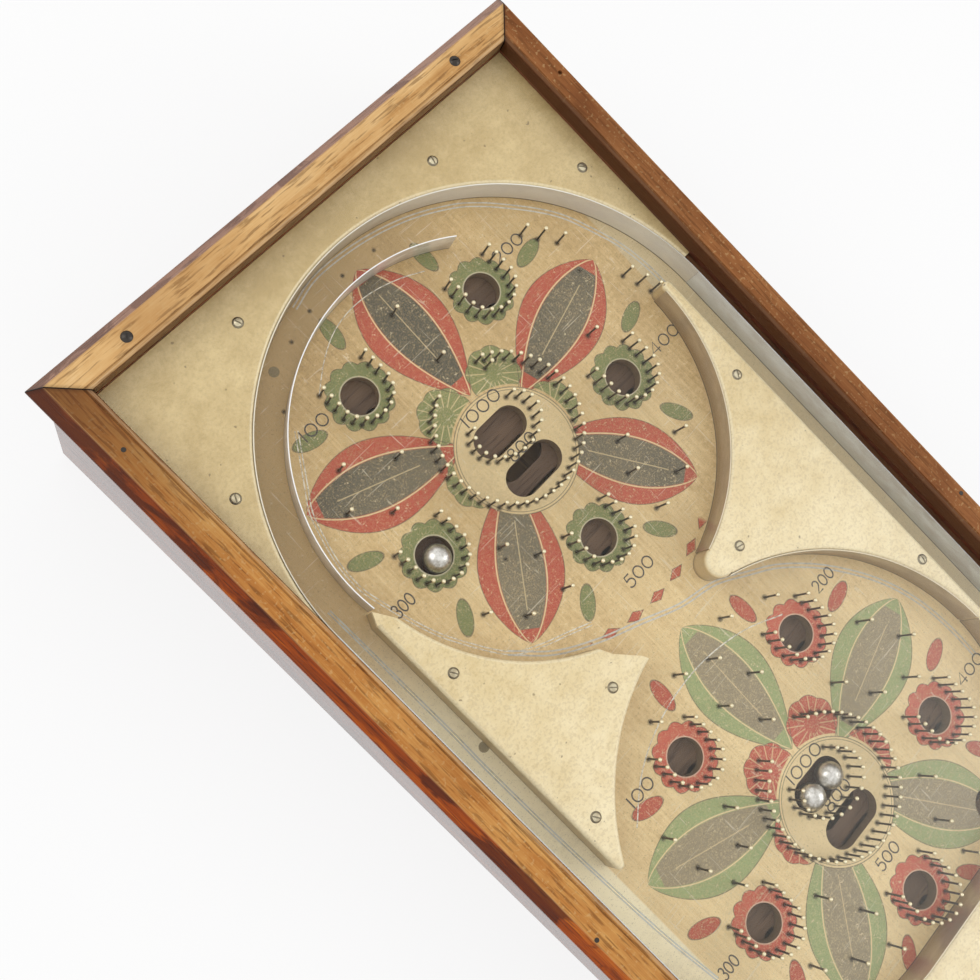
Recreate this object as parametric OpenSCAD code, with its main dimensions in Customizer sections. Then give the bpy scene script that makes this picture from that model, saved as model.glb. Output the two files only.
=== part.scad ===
/* [Case] */
// Outer width of the top frame, from left to right
frame_width = 406; // [396:1:416]
// Outer length of the top frame, along the deck
frame_length = 762; // [752:1:780]
// Width of one frame rail in plan
rail_width = 26.7; // [24:0.1:30]
// Height of the frame rails above the case
rail_height = 15; // [13:0.5:18]
// Plan width of the bevel on a rail's outer edge
bevel_width = 7.5; // [4:0.5:10]
// Height of the rail's outer face below its bevel
bevel_foot = 3; // [2:0.5:5]
// Thickness of the side boards
side_board = 20; // [17:0.5:21]
// How far the frame stands out over the side boards
side_overhang = 4.7; // [3:0.1:6]
// Thickness of the front board
front_board_t = 19; // [16:0.5:21]
// Thickness of the back board
back_board_t = 13; // [12.5:0.5:14]
// Height from the playfield's top up to the case's top edge
deck_depth = 24; // [23.6:0.1:28]
// Slope of the deck towards the player, in degrees
slope = 5; // [4.6:0.1:5.1]
// Height of the playfield's top above the table, at mid length
deck_height = 77.6; // [77:0.1:80]
// Thickness of the bottom board
bottom_t = 6; // [4:0.5:6]
// Thickness of the glass
glass_t = 3; // [2:0.1:3]
// How far the glass reaches under the rails
glass_lap = 5.8; // [4.5:0.1:6.5]

/* [Playfield] */
// Thickness of the playfield board
field_t = 9.5; // [8:0.5:11]
// Diameter of the steel balls
ball_d = 19.05; // [18.7:0.05:19.2]
// Diameter of the round pockets
pocket_d = 25; // [24.6:0.1:25.6]
// Width of the two-ball slot across
slot_width = 23; // [22.8:0.1:24]
// Length of the upper one of each slot pair
slot_long_1 = 42; // [41:0.5:44]
// Length of the lower one of each slot pair
slot_long_2 = 45.5; // [44:0.5:46]
// Distance between the two slots of a pair
slot_step = 32.2; // [31.5:0.1:33]
// Radius of the ring of pockets in the upper circle
upper_ring = 94.7; // [93:0.1:96]
// Radius of the ring of pockets in the lower circle
lower_ring = 98.8; // [97:0.1:99.5]
// Turn of the pocket pattern, in degrees
pattern_turn = 2; // [0:0.1:3]
// Distance between the two circles, along the deck
circle_step = 314.8; // [313:0.1:316]
// Sideways shift of the lower circle
lower_shift = 10.7; // [9:0.1:11.5]
// Height of the plates above the playfield
plate_t = 22; // [20.5:0.5:22]
// Radius of the rounding along the plates' top edges
plate_round = 3; // [1:0.5:3]
// Height of the steel ribbons
ribbon_h = 21.5; // [19:0.5:22]
// Thickness of the steel ribbons
ribbon_t = 0.7; // [0.5:0.1:0.8]
// Half width between the outer walls of the lanes
lane_wall = 173.2; // [173:0.1:173.6]
// Half width across the islands' outer edges
island_edge = 152.8; // [152:0.1:153]
// Radius of the upper circle's wall at the islands
upper_wall = 145.5; // [144.5:0.1:146]
// Radius of the lower circle's wall
lower_wall = 158; // [157:0.1:158.6]
// Radius of the arc rail in the upper circle
arc_rail_r = 136; // [135:0.1:136.3]
// Height of the pins above the playfield
pin_h = 20; // [17:0.5:20]
// Diameter of a pin's shank
pin_d = 1.4; // [1.2:0.1:1.6]
// Diameter of a pin's round head
pin_head = 2.8; // [2.2:0.1:3]
// Depth of the pins in the board
pin_sunk = 6; // [4:0.5:7]
// Diameter of the plate screws' heads
screw_head = 7.4; // [6:0.2:8]

/* [Ball release] */
// Thickness of the sliding release board
shutter_t = 4.5; // [4:0.1:5]
// Gap between the playfield and the release board
shutter_gap = 0.5; // [0.4:0.1:0.8]
// Travel of the release board
shutter_travel = 20; // [19.7:0.1:20.3]
// Width of the holes in the release board
release_d = 20.6; // [20.2:0.1:21]
// Depth of the return board's top below the playfield's top
return_depth = 37.5; // [37.2:0.1:38]
// Thickness of the return board
return_t = 4.5; // [3:0.5:4.5]
// Width of the coin slide
slide_width = 34; // [30:0.5:34]
// Thickness of the coin slide
slide_t = 3; // [2.4:0.1:3]
// Diameter of the coin hole in the slide
coin_d = 20; // [19.6:0.1:20]

/* [Plunger and lift] */
// Diameter of the plunger rod
rod_d = 6.4; // [5:0.2:6.8]
// Travel of the plunger
plunger_travel = 45; // [35:1:46]
// Diameter of the plunger's knob
knob_d = 24; // [18:1:24]
// Swing of the ball lift's lever, in degrees
lift_swing = 27.4; // [26:0.1:28]
// Diameter of the lift's pivot pin
pivot_d = 4; // [3:0.2:4.6]
// Thickness of the lift's lever
lever_t = 4; // [3:0.2:5]
// Diameter of the lift's finger knob
lift_knob_d = 10; // [8:0.5:10]

/* [Cash door] */
// Width of the cash door's opening
door_width = 90; // [70:1:96]
// Height of the cash door's opening
door_height = 46; // [40:1:46]
// Gap round the cash door
door_gap = 0.5; // [0.4:0.1:0.8]
// Diameter of the lock's barrel
lock_d = 14; // [12:0.5:16]

/* [Hidden] */
$fn = 64;
running = 0.05;
free = 0.3;
mid_y = -172.5;
out_x = frame_width / 2;
back_y = mid_y + frame_length / 2;
front_y = mid_y - frame_length / 2;
open_x = out_x - rail_width;
open_back = back_y - rail_width;
open_front = front_y + rail_width;
case_x = out_x - side_overhang;
wall_x = case_x - side_board;
case_back = open_back + 0.2 + back_board_t;
wall_back = open_back + 0.2;
wall_front = open_front;
case_front = wall_front - front_board_t;
rebate_t = glass_t + 0.3;
frame_top = deck_depth + rail_height;
shutter_top = -field_t - shutter_gap;
shutter_low = shutter_top - shutter_t;
slide_low = shutter_low - slide_t;
return_top = -return_depth;
return_low = return_top - return_t;
ball_r = ball_d / 2;
lane_x = (lane_wall + island_edge) / 2;
lane_z = ball_r;
upper_c = [-0.7, 0.5];
lower_c = upper_c + [-lower_shift, -circle_step];
upper_slot = upper_c + [-1.6, -0.3];
lower_slot = lower_c + [-2.7, 0.8];
arch_c = [0, -17];
ring_c = [-0.5, -8];
lower_wall_c = [-12.5, -322];
apron_c = [-12.5, -320];
apron_spread = 40;
apron_r = 118;
left_wall_c = [-0.5, -12];
left_wall = 141.5;
rail_c = [-11.2, -4.5];
split_y = -164;
drain = [66, -418];
coin_x = -60;
coin_plate_t = 1.6;
coin_y = case_front - coin_plate_t - 0.4 - coin_d / 2;
lift_y = -420;
pivot_y = -500;
pivot_z = -22;
tip_y = -453;
spring_x = -150;
door_x = 115;
door_low = -96;
hinge_r = 2.5;
hinge_y = case_back + hinge_r + 0.3;
trough_turn = 5;
ball_pitch = ball_d + 0.3;
// pockets stand every 72 degrees, the first one to the left of the top
pocket_angles = [for (i = [0:4]) -36 + 72 * i + pattern_turn];
function spot(c, r, a) = [c[0] + r * sin(a), c[1] + r * cos(a)];
// centre of a circle that touches two others from outside, on the right of the line from a to b
function between(a, ra, b, rb, r) =
    let (d = norm(b - a), u = (b - a) / d, p = ra + r, q = rb + r)
    let (m = (p * p - q * q + d * d) / (2 * d))
    a + u * m + [-u[1], u[0]] * sqrt(p * p - m * m);

// a piece given in the deck's own frame, set down at its slope and height
module deck() {
    translate([0, 0, deck_height])
        rotate([slope, 0, 0])
            translate([0, -mid_y, 0])
                children();
}

// the space above the case's flat underside, less a board of thickness t
module above(t) {
    translate([-400, -600, t])
        cube([800, 1200, 400]);
}

module block(x0, x1, y0, y1, z0, z1) {
    translate([x0, y0, z0])
        cube([x1 - x0, y1 - y0, z1 - z0]);
}

// a rod along the deck's length, from y0 to y1
module rod_y(d, x, z, y0, y1) {
    translate([x, y1, z])
        rotate([90, 0, 0])
            cylinder(d = d, h = y1 - y0);
}

// a rod across the deck, from x0 to x1
module rod_x(d, y, z, x0, x1) {
    translate([x0, y, z])
        rotate([0, 90, 0])
            cylinder(d = d, h = x1 - x0);
}

// a slot with round ends, length l across the deck
module slot2d(l, w) {
    for (s = [-1, 1])
        translate([s * (l - w) / 2, 0])
            circle(d = w);
    square([l - w, w], center = true);
}

// the two slots of one pair
module slots2d(c) {
    translate(c)
        slot2d(slot_long_1, slot_width);
    translate(c + [-0.5, -slot_step])
        slot2d(slot_long_2, slot_width);
}

module pockets2d(c, r) {
    for (a = pocket_angles)
        translate(spot(c, r, a))
            circle(d = pocket_d);
}

module holes2d() {
    pockets2d(upper_c, upper_ring);
    pockets2d(lower_c, lower_ring);
    slots2d(upper_slot);
    slots2d(lower_slot);
}

// cutter that rounds the top edge of a round wall whose wood lies outside radius r
module round_in(c, r) {
    translate([c[0], c[1], 0])
        rotate_extrude($fn = 180)
            difference() {
                translate([r - 0.5, plate_t - plate_round])
                    square([plate_round + 0.5, plate_round + 1]);
                translate([r + plate_round, plate_t - plate_round])
                    circle(r = plate_round);
            }
}

// cutter that rounds the top edge of a round end of radius r, over half a turn from angle a
module round_out(c, r, a) {
    translate([c[0], c[1], 0])
        rotate([0, 0, a])
            rotate_extrude(angle = 180)
                difference() {
                    translate([max(r - plate_round, 0), plate_t - plate_round])
                        square([plate_round + 1, plate_round + 1]);
                    translate([max(r - plate_round, 0), plate_t - plate_round])
                        circle(r = plate_round);
                }
}

// cutter that rounds the top of a straight edge at x, wood on the side s
module round_edge(x, s, y0, y1) {
    translate([x, y1, plate_t - plate_round])
        rotate([90, 0, 0])
            linear_extrude(y1 - y0)
                difference() {
                    translate([s > 0 ? -0.5 : -plate_round, 0])
                        square([plate_round + 0.5, plate_round + 1]);
                    translate([s * plate_round, 0])
                        circle(r = plate_round);
                }
}

// upright steel ribbon on an arc, wood outside it
module ribbon_arc(c, r, a0, a1) {
    translate([c[0], c[1], 0])
        rotate([0, 0, a0])
            rotate_extrude(angle = a1 - a0, $fn = 180)
                translate([r, 0])
                    square([ribbon_t, ribbon_h]);
}

// one unbroken wound wire along +Z, with flat ends
module coil(r, wire, long, turns) {
    per = 8;
    n = turns * per;
    rise = (long - wire) / turns;
    echo(coil_gap = rise - wire);
    pts = [for (i = [0:n], k = [0:5])
        let (a = 360 * i / per, f = 60 * k, q = r + wire / 2 * cos(f))
        [q * cos(a), q * sin(a), wire / 2 + rise * i / per + wire / 2 * sin(f)]];
    near = [for (i = [0:n - 1], k = [0:5])
        [6 * i + k, 6 * i + (k + 1) % 6, 6 * i + 6 + (k + 1) % 6]];
    far = [for (i = [0:n - 1], k = [0:5])
        [6 * i + k, 6 * i + 6 + (k + 1) % 6, 6 * i + 6 + k]];
    caps = [[5, 4, 3, 2, 1, 0], [for (k = [0:5]) 6 * n + k]];
    polyhedron(pts, concat(near, far, caps));
}

// round head with a slot, standing on z = 0
module round_head(d, h, turn) {
    difference() {
        intersection() {
            cylinder(d = d, h = h, $fn = 32);
            translate([0, 0, h - (d * d / 4 + h * h) / (2 * h)])
                sphere(r = (d * d / 4 + h * h) / (2 * h), $fn = 48);
        }
        rotate([0, 0, turn])
            translate([-d, -0.5, h - 0.8])
                cube([2 * d, 1, 2]);
    }
}

module screw(p, z, long, h, turn) {
    translate([p[0], p[1], z]) {
        round_head(screw_head, h, turn);
        translate([0, 0, -long])
            cylinder(d = 3.4, h = long + 0.1, $fn = 24);
    }
}

// section of a frame rail, its outer edge at zero and its inner edge towards s
module rail_section(s) {
    rebate = rail_width - glass_lap - 0.3;
    difference() {
        polygon([
            [0, deck_depth],
            [s * rebate, deck_depth],
            [s * rebate, deck_depth + rebate_t],
            [s * rail_width, deck_depth + rebate_t],
            [s * rail_width, frame_top - 1.6],
            [s * (rail_width - 0.5), frame_top - 0.5],
            [s * (rail_width - 1.6), frame_top],
            [s * bevel_width, frame_top],
            [0, deck_depth + bevel_foot],
        ]);
        translate([s * (rail_width - 3.6), frame_top])
            circle(r = 0.6, $fn = 16);
    }
}

module rail_long(s) {
    intersection() {
        translate([-s * out_x, back_y, 0])
            rotate([90, 0, 0])
                linear_extrude(frame_length)
                    rail_section(s);
        linear_extrude(60)
            polygon([
                [-s * out_x, back_y], [-s * out_x, front_y],
                [-s * open_x, open_front], [-s * open_x, open_back],
            ]);
    }
}

module rail_cross(back) {
    y0 = back ? back_y : front_y;
    y1 = back ? open_back : open_front;
    intersection() {
        translate([-out_x, y0, 0])
            rotate([90, 0, 90])
                linear_extrude(frame_width)
                    rail_section(back ? -1 : 1);
        linear_extrude(60)
            polygon([[-out_x, y0], [out_x, y0], [open_x, y1], [-open_x, y1]]);
    }
}

module side_left() {
    color([0.42, 0.2, 0.08])
        intersection() {
            deck()
                block(-case_x, -wall_x, case_front, case_back, -140, deck_depth);
            above(0);
        }
}

module side_right() {
    color([0.42, 0.2, 0.08])
        intersection() {
            deck()
                block(wall_x, case_x, case_front, case_back, -140, deck_depth);
            above(0);
        }
}

module back_board() {
    color([0.4, 0.19, 0.08])
        intersection() {
            deck()
                difference() {
                    block(-wall_x, wall_x, wall_back, case_back, -140, deck_depth);
                    block(door_x - door_width / 2, door_x + door_width / 2,
                        wall_back - 1, case_back + 1, door_low, door_low + door_height);
                }
            above(0);
        }
}

module front_board() {
    color([0.42, 0.2, 0.08])
        intersection() {
            deck()
                difference() {
                    block(-wall_x, wall_x, case_front, wall_front, -140, deck_depth);
                    rod_y(17.2, lane_x, lane_z, case_front - 1, wall_front + 1);
                    block(lane_x - lever_t / 2 - 2, lane_x + lever_t / 2 + 2,
                        case_front - 1, wall_front + 1, pivot_z - 17, pivot_z + 15);
                    slide_tunnel(1.8, 1);
                    coin_shaft(0, case_front - 1, wall_front + 1);
                }
            above(0);
        }
}

// the bottom board lies level inside the four walls
module bottom_board() {
    color([0.55, 0.38, 0.22])
        intersection() {
            deck()
                block(-wall_x + 0.1, wall_x - 0.1, wall_front + 0.1, wall_back - 0.1, -140, 0);
            translate([-400, -600, 0])
                cube([800, 1200, bottom_t]);
        }
}

module rail_left() {
    color([0.62, 0.36, 0.17])
        deck()
            rail_long(1);
}

module rail_right() {
    color([0.62, 0.36, 0.17])
        deck()
            difference() {
                rail_long(-1);
                translate([190.3, 142.4, frame_top - 3])
                    cylinder(d = 3, h = 4);
            }
}

module rail_back() {
    color([0.62, 0.36, 0.17])
        deck()
            rail_cross(true);
}

module rail_front() {
    color([0.62, 0.36, 0.17])
        deck()
            rail_cross(false);
}

module case_screws() {
    color([0.5, 0.42, 0.28])
        deck() {
            for (x = [-141, 139], y = [back_y - 16, front_y + 14])
                screw([x, y], frame_top, 24, 1.8, x + y);
            for (s = [-1, 1], z = [slide_low - 8, shutter_low + 8])
                translate([coin_x + s * 23, case_front - coin_plate_t, z])
                    rotate([90, 0, 0]) {
                        round_head(6, 1.7, 30 * s);
                        translate([0, 0, -12])
                            cylinder(d = 3.4, h = 12.1, $fn = 24);
                    }
        }
}

module frame_nails() {
    color([0.4, 0.38, 0.35])
        deck()
            for (p = [[-188, 145], [-194, -249], [192, -249], [-188, -430], [190, -430]])
                translate([p[0], p[1], frame_top - 20])
                    cylinder(d = 3, h = 20.2, $fn = 24);
}

module glass_pane() {
    color([0.8, 0.9, 0.9, 0.3])
        deck()
            block(-open_x - glass_lap, open_x + glass_lap, open_front - glass_lap,
                open_back + glass_lap, deck_depth, deck_depth + glass_t);
}

module field(y0, y1) {
    deck()
        difference() {
            block(-wall_x + 0.1, wall_x - 0.1, y0, y1, -field_t, 0);
            translate([0, 0, -field_t - 1])
                linear_extrude(field_t + 2) {
                    holes2d();
                    translate(drain)
                        circle(d = pocket_d);
                    translate([lane_x, lift_y - 4])
                        square([21.4, 31], center = true);
                }
        }
}

module field_upper() {
    color([0.81, 0.69, 0.49])
        field(split_y, wall_back - 0.1);
}

module field_lower() {
    color([0.81, 0.69, 0.49])
        field(wall_front + 0.1, split_y);
}

module cleats() {
    color([0.6, 0.45, 0.28]) {
        deck()
            for (s = [-1, 1])
                translate([s * (wall_x - 2.6), 0, 0])
                    block(-2.5, 2.5, wall_front + 8, wall_back - 8, -field_t - 9, -field_t);
        deck()
            for (s = [-1, 1])
                translate([s * (wall_x - 5.1), 0, 0])
                    block(-5, 5, -440, wall_back - 12, return_low - 5.5, return_low);
    }
}

module arch_plate() {
    color([0.84, 0.78, 0.55])
        deck()
            difference() {
                block(-wall_x + 0.2, wall_x - 0.2, -3, wall_back - 0.2, 0, plate_t);
                translate([arch_c[0], arch_c[1], -1])
                    cylinder(r = lane_wall + ribbon_t, h = plate_t + 2, $fn = 180);
                round_in(arch_c, lane_wall + ribbon_t);
            }
}

module tip_bits(c, r) {
    translate([c[0], c[1], 0])
        cylinder(r = r, h = plate_t);
}

module island_right() {
    tip = between(ring_c, upper_wall + ribbon_t, lower_wall_c, lower_wall + ribbon_t, 10.7);
    top_r = (island_edge - ring_c[0] - upper_wall - ribbon_t) / 2;
    top = [island_edge - top_r, ring_c[1] - 1];
    color([0.84, 0.78, 0.55])
        deck()
            difference() {
                union() {
                    difference() {
                        block(tip[0], island_edge, apron_c[1], top[1], 0, plate_t);
                        translate([ring_c[0], ring_c[1], -1])
                            cylinder(r = upper_wall + ribbon_t, h = plate_t + 2, $fn = 180);
                        translate([lower_wall_c[0], lower_wall_c[1], -1])
                            cylinder(r = lower_wall + ribbon_t, h = plate_t + 2, $fn = 180);
                    }
                    tip_bits(tip, 10.7);
                    tip_bits(top, top_r);
                }
                round_in(ring_c, upper_wall + ribbon_t);
                round_in(lower_wall_c, lower_wall + ribbon_t);
                round_edge(island_edge, -1, apron_c[1] - 1, top[1]);
                round_out(tip, 10.7, 90);
                round_out(top, top_r, 0);
            }
}

module island_left() {
    low_x = -island_edge + 3.2;
    low = [low_x, lower_wall_c[1] + sqrt(pow(lower_wall + 3.2, 2) - pow(low_x - lower_wall_c[0], 2))];
    color([0.84, 0.78, 0.55])
        deck()
            difference() {
                union() {
                    linear_extrude(plate_t)
                        difference() {
                            polygon([
                                [-island_edge, -30], [-149, -21.5], [-139.2, -37.5], [-100, -60],
                                [-60, -147], [-47, -162], [-44, -167.5], [-90, -260],
                                [-110, low[1]], [-island_edge, low[1]],
                            ]);
                            translate(left_wall_c)
                                circle(r = left_wall, $fn = 180);
                            translate(lower_wall_c)
                                circle(r = lower_wall, $fn = 180);
                        }
                    tip_bits(low, 3.2);
                }
                round_in(left_wall_c, left_wall);
                round_in(lower_wall_c, lower_wall);
                round_edge(-island_edge, 1, low[1], -30);
                round_out(low, 3.2, 180);
            }
}

// the half of space beyond x = apron_spread on side s of the lower circle's middle
module beside(s) {
    translate([apron_c[0] + s * (apron_spread + 200), -400, 0])
        cube([400, 400, 100], center = true);
}

module lower_plate() {
    r = apron_r + ribbon_t;
    color([0.84, 0.78, 0.55])
        deck()
            difference() {
                block(-lane_wall - ribbon_t, island_edge, wall_front + 0.2, apron_c[1], 0, plate_t);
                for (s = [-1, 1])
                    intersection() {
                        union() {
                            translate([apron_c[0] + s * apron_spread, apron_c[1], -1])
                                cylinder(r = r, h = plate_t + 2, $fn = 180);
                            round_in([apron_c[0] + s * apron_spread, apron_c[1]], r);
                        }
                        beside(s);
                    }
                translate([apron_c[0], apron_c[1] - r, 0]) {
                    block(-apron_spread, apron_spread, 0, 200, -1, plate_t + 1);
                    rotate([0, 0, -90])
                        round_edge(0, 1, -apron_spread, apron_spread);
                }
                round_edge(island_edge, -1, wall_front, apron_c[1] + 1);
            }
}

module plate_screws() {
    color([0.55, 0.52, 0.48])
        deck()
            for (p = [
                [86.5, 156.5], [163.2, 88], [-83, 160], [-159.4, 83],
                [-140, -82.5], [-75, -161.5], [-140, -206.5],
                [140, -84], [54, -162.5], [145.1, -263.5],
                [-150, -455], [-60, -470], [50, -470], [135, -440],
            ])
                screw(p, plate_t, 12, 1.7, p[0] * 3);
}

module lane_strips() {
    color([0.62, 0.63, 0.64])
        deck() {
            block(lane_wall, lane_wall + ribbon_t, wall_front + 0.3, arch_c[1], 0, ribbon_h);
            block(-lane_wall - ribbon_t, -lane_wall, apron_c[1] + 0.1, arch_c[1], 0, ribbon_h);
        }
}

module filler(s) {
    deck()
        difference() {
            block(s > 0 ? lane_wall + ribbon_t + 0.05 : -wall_x + 0.1,
                s > 0 ? wall_x - 0.1 : -lane_wall - ribbon_t - 0.05,
                wall_front + 0.3, -3.3, 0, ribbon_h - 1.5);
            translate([arch_c[0], arch_c[1], -1])
                cylinder(r = lane_wall + ribbon_t + 0.05, h = 40, $fn = 180);
        }
}

module lane_fillers() {
    color([0.5, 0.3, 0.15]) {
        filler(1);
        filler(-1);
    }
}

module arch_ribbon() {
    color([0.62, 0.63, 0.64])
        deck()
            ribbon_arc(arch_c, lane_wall, 0.05, 179.95);
}

// free-standing ribbon, its lower edge let into the board
module arc_rail() {
    color([0.62, 0.63, 0.64])
        deck()
            translate([rail_c[0], rail_c[1], 0])
                rotate([0, 0, 57.5])
                    rotate_extrude(angle = 129.5, $fn = 180)
                        translate([arc_rail_r, -3])
                            square([ribbon_t, ribbon_h + 3]);
}

module ribbon_upper() {
    color([0.62, 0.63, 0.64])
        deck()
            ribbon_arc(ring_c, upper_wall, -75, -1);
}

module ribbon_lower() {
    color([0.62, 0.63, 0.64])
        deck()
            ribbon_arc(lower_wall_c, lower_wall, 1, 72.5);
}

// three lengths of ribbon, butted end to end
module ribbon_front() {
    color([0.62, 0.63, 0.64])
        deck() {
            translate([apron_spread, 0, 0])
                ribbon_arc(apron_c, apron_r, -89.97, -0.5);
            translate([-apron_spread, 0, 0])
                ribbon_arc(apron_c, apron_r, -179.5, -90.03);
            block(apron_c[0] - apron_spread, apron_c[0] + apron_spread,
                apron_c[1] - apron_r - ribbon_t, apron_c[1] - apron_r, 0, ribbon_h);
        }
}

module pin(p) {
    translate([p[0], p[1], -pin_sunk])
        cylinder(d = pin_d, h = pin_h + pin_sunk - pin_head / 2, $fn = 12);
    translate([p[0], p[1], pin_h - pin_head / 2])
        sphere(d = pin_head, $fn = 16);
}

// the open fence of pins round one pocket
module fence(c) {
    for (s = [-1, 1], i = [0:2])
        pin(c + [s * 18.3, 4 + 6.7 * i]);
    for (a = [10:20:170])
        pin(c + 18.5 * [cos(a), -sin(a)]);
}

// ring of pins round the slots, open at the top
module pin_ring(c, r) {
    for (a = [24:7.6:336])
        pin(spot(c, r, a));
}

// inner fence of pins round the upper slot
module inner_fence(c) {
    for (i = [0:15])
        let (t = -42 + 17.6 * i)
        pin(c + [1.4 + 25.3 * cos(t), 1 - 19 * sin(t)]);
}

// single pins set by hand, in whole millimetres
upper_pins = [
    [0, 103], [1, 62], [106, 85], [114, 75], [122, 64], [141, 17], [145, 6], [149, -4],
    [91, 5], [53, -59], [42, -79], [88, -83], [68, -102], [40, -109], [-97, 54], [-65, 35],
    [-113, 31], [-92, 12], [-58, -52], [-96, -74], [-44, -72], [-77, -94], [-46, -100], [21, 37],
];
lower_pins = [
    [-67, -200], [-114, -255], [-71, -273], [-112, -285], [-83, -296], [-102, -309],
    [-69, -358], [-104, -383], [-81, -403], [-54, -388], [-57, -417], [-33, -192],
    [-9, -202], [-26, -228], [-12, -255], [17, -190], [51, -204], [5, -229],
    [88, -264], [43, -277], [103, -293], [58, -302], [84, -314], [42, -365],
    [28, -392], [27, -421], [112, -372], [92, -392],
];

module pins(c, slot, ring, r, singles) {
    color([0.75, 0.68, 0.5])
        deck() {
            for (a = pocket_angles)
                fence(spot(c, ring, a));
            pin_ring(slot + [1, -1.5], r);
            inner_fence(slot);
            for (p = singles)
                pin(p);
        }
}

module pins_upper() {
    pins(upper_c, upper_slot, upper_ring, 49.5, upper_pins);
}

module pins_lower() {
    pins(lower_c, lower_slot, lower_ring, 47.5, lower_pins);
}

module ball(p, z) {
    color([0.8, 0.8, 0.82])
        deck()
            translate([p[0], p[1], z])
                sphere(d = ball_d);
}

// three balls where they came to rest: one in a pocket, two side by side in a slot
module balls_in_play() {
    back = [0, -(pocket_d - ball_d) / 2 + free];
    beside = (slot_long_1 - slot_width) / 2 + 0.1;
    ball(spot(upper_c, upper_ring, -108 + pattern_turn) + back, shutter_top + ball_r);
    for (s = [-1, 1])
        ball(lower_slot + [s * beside, -(slot_width - ball_d) / 2 + free], shutter_top + ball_r);
}

function queue(i) = [lane_x, lift_y] + i * ball_pitch * [-cos(trough_turn), sin(trough_turn)];

module balls_waiting() {
    for (i = [1:6])
        ball(queue(i), return_top + ball_r);
}

module ball_on_lift() {
    ball(queue(0), return_top + ball_r);
}

// fixed shoulder screws that carry the release board, and the slots for them
studs = [[-105, 118], [-20, 118], [80, 118], [-105, -160], [60, -160], [-110, -425], [25, -425]];

// the release board's holes, narrower than those above them
module release_holes2d() {
    for (c = [[upper_c, upper_ring], [lower_c, lower_ring]], a = pocket_angles)
        translate(spot(c[0], c[1], a))
            circle(d = release_d);
    for (c = [upper_slot, lower_slot]) {
        translate(c)
            slot2d(slot_long_1 - slot_width + release_d, release_d);
        translate(c + [-0.5, -slot_step])
            slot2d(slot_long_2 - slot_width + release_d, release_d);
    }
}

module shutter_board() {
    color([0.6, 0.47, 0.3])
        deck()
            difference() {
                block(-124.5, 124.5, -458, 134, shutter_low, shutter_top);
                translate([0, 0, shutter_low - 1])
                    linear_extrude(shutter_t + 2) {
                        translate([0, -shutter_travel])
                            release_holes2d();
                        for (p = studs)
                            translate([p[0], p[1] - shutter_travel / 2])
                                rotate([0, 0, 90])
                                    slot2d(shutter_travel + 8, 7);
                        translate([45, -460])
                            square([200, 65]);
                        translate([100, -460])
                            square([200, 90]);
                    }
                slide_rivet_holes();
            }
}

module slide_rivet_holes() {
    for (y = [-452, -442])
        translate([coin_x, y, slide_low - 1])
            cylinder(d = 4.1, h = 20, $fn = 24);
}

module shutter_studs() {
    color([0.6, 0.6, 0.58])
        deck()
            for (p = studs)
                translate([p[0], p[1], 0]) {
                    translate([0, 0, shutter_low - free - 2.2])
                        cylinder(d = 15, h = 2.2);
                    translate([0, 0, shutter_low - free - 0.1])
                        cylinder(d = 6, h = -field_t - shutter_low + free + 0.1);
                }
}

// coin slide: a plate with the coin's hole and a finger tab bent down at its outer end
module coin_slide() {
    end = case_front - coin_plate_t - shutter_travel - 4.1;
    color([0.7, 0.66, 0.52])
        deck()
            difference() {
                union() {
                    block(coin_x - slide_width / 2, coin_x + slide_width / 2, end, -432,
                        slide_low, shutter_low);
                    block(coin_x - 5, coin_x + 5, end, end + 3, slide_low - 12, shutter_low);
                }
                translate([coin_x, coin_y, slide_low - 1])
                    cylinder(d = coin_d, h = slide_t + 2);
                slide_rivet_holes();
            }
}

module slide_rivets() {
    color([0.7, 0.66, 0.52])
        deck()
            for (y = [-452, -442])
                translate([coin_x, y, slide_low - 1.4]) {
                    cylinder(d = 7.5, h = 1.4, $fn = 32);
                    cylinder(d = 4, h = 1.4 + slide_t + shutter_t - 0.3, $fn = 24);
                }
}

// the block of space taken by the slide's tunnel, its walls w thick
module slide_tunnel(w, past) {
    block(coin_x - slide_width / 2 - free - w, coin_x + slide_width / 2 + free + w,
        case_front - past, wall_front + past, slide_low - free - w, shutter_low + free + w);
}

// coin housing: face plate, tunnel open below where the coin drops, and a forked shelf
module coin_housing() {
    shelf = slide_low - free;
    color([0.72, 0.73, 0.72])
        deck()
            difference() {
                union() {
                    slide_tunnel(1.6, 0);
                    block(coin_x - 28, coin_x + 28, case_front - coin_plate_t, case_front,
                        slide_low - 13, shutter_low + 12);
                    block(coin_x - slide_width / 2, coin_x + slide_width / 2,
                        coin_y - coin_d / 2, case_front, shelf - 1.6, shelf);
                }
                slide_tunnel(0, 40);
                block(coin_x - 5.5, coin_x + 5.5, coin_y - coin_d / 2 - 1,
                    case_front - coin_plate_t, shelf - 3, shelf + 1);
                block(coin_x - 11, coin_x + 11, case_front, wall_front + 1, shelf - 3, shelf + 1);
                for (s = [-1, 1], z = [slide_low - 8, shutter_low + 8])
                    rod_y(3.5, coin_x + s * 23, z, case_front - 3, case_front + 1);
            }
}

// the shaft in the front board down which the coin drops, grown by w
module coin_shaft(w, y0, y1) {
    block(coin_x - 11 - w, coin_x + 11 + w, y0, y1, slide_low - 12.5, slide_low - free - 1);
}

module coin_chute() {
    color([0.66, 0.67, 0.66])
        deck()
            difference() {
                coin_shaft(1, wall_front, wall_front + 9);
                block(coin_x - 11, coin_x + 11, wall_front - 1, wall_front + 8, -60, 0);
            }
}

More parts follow.
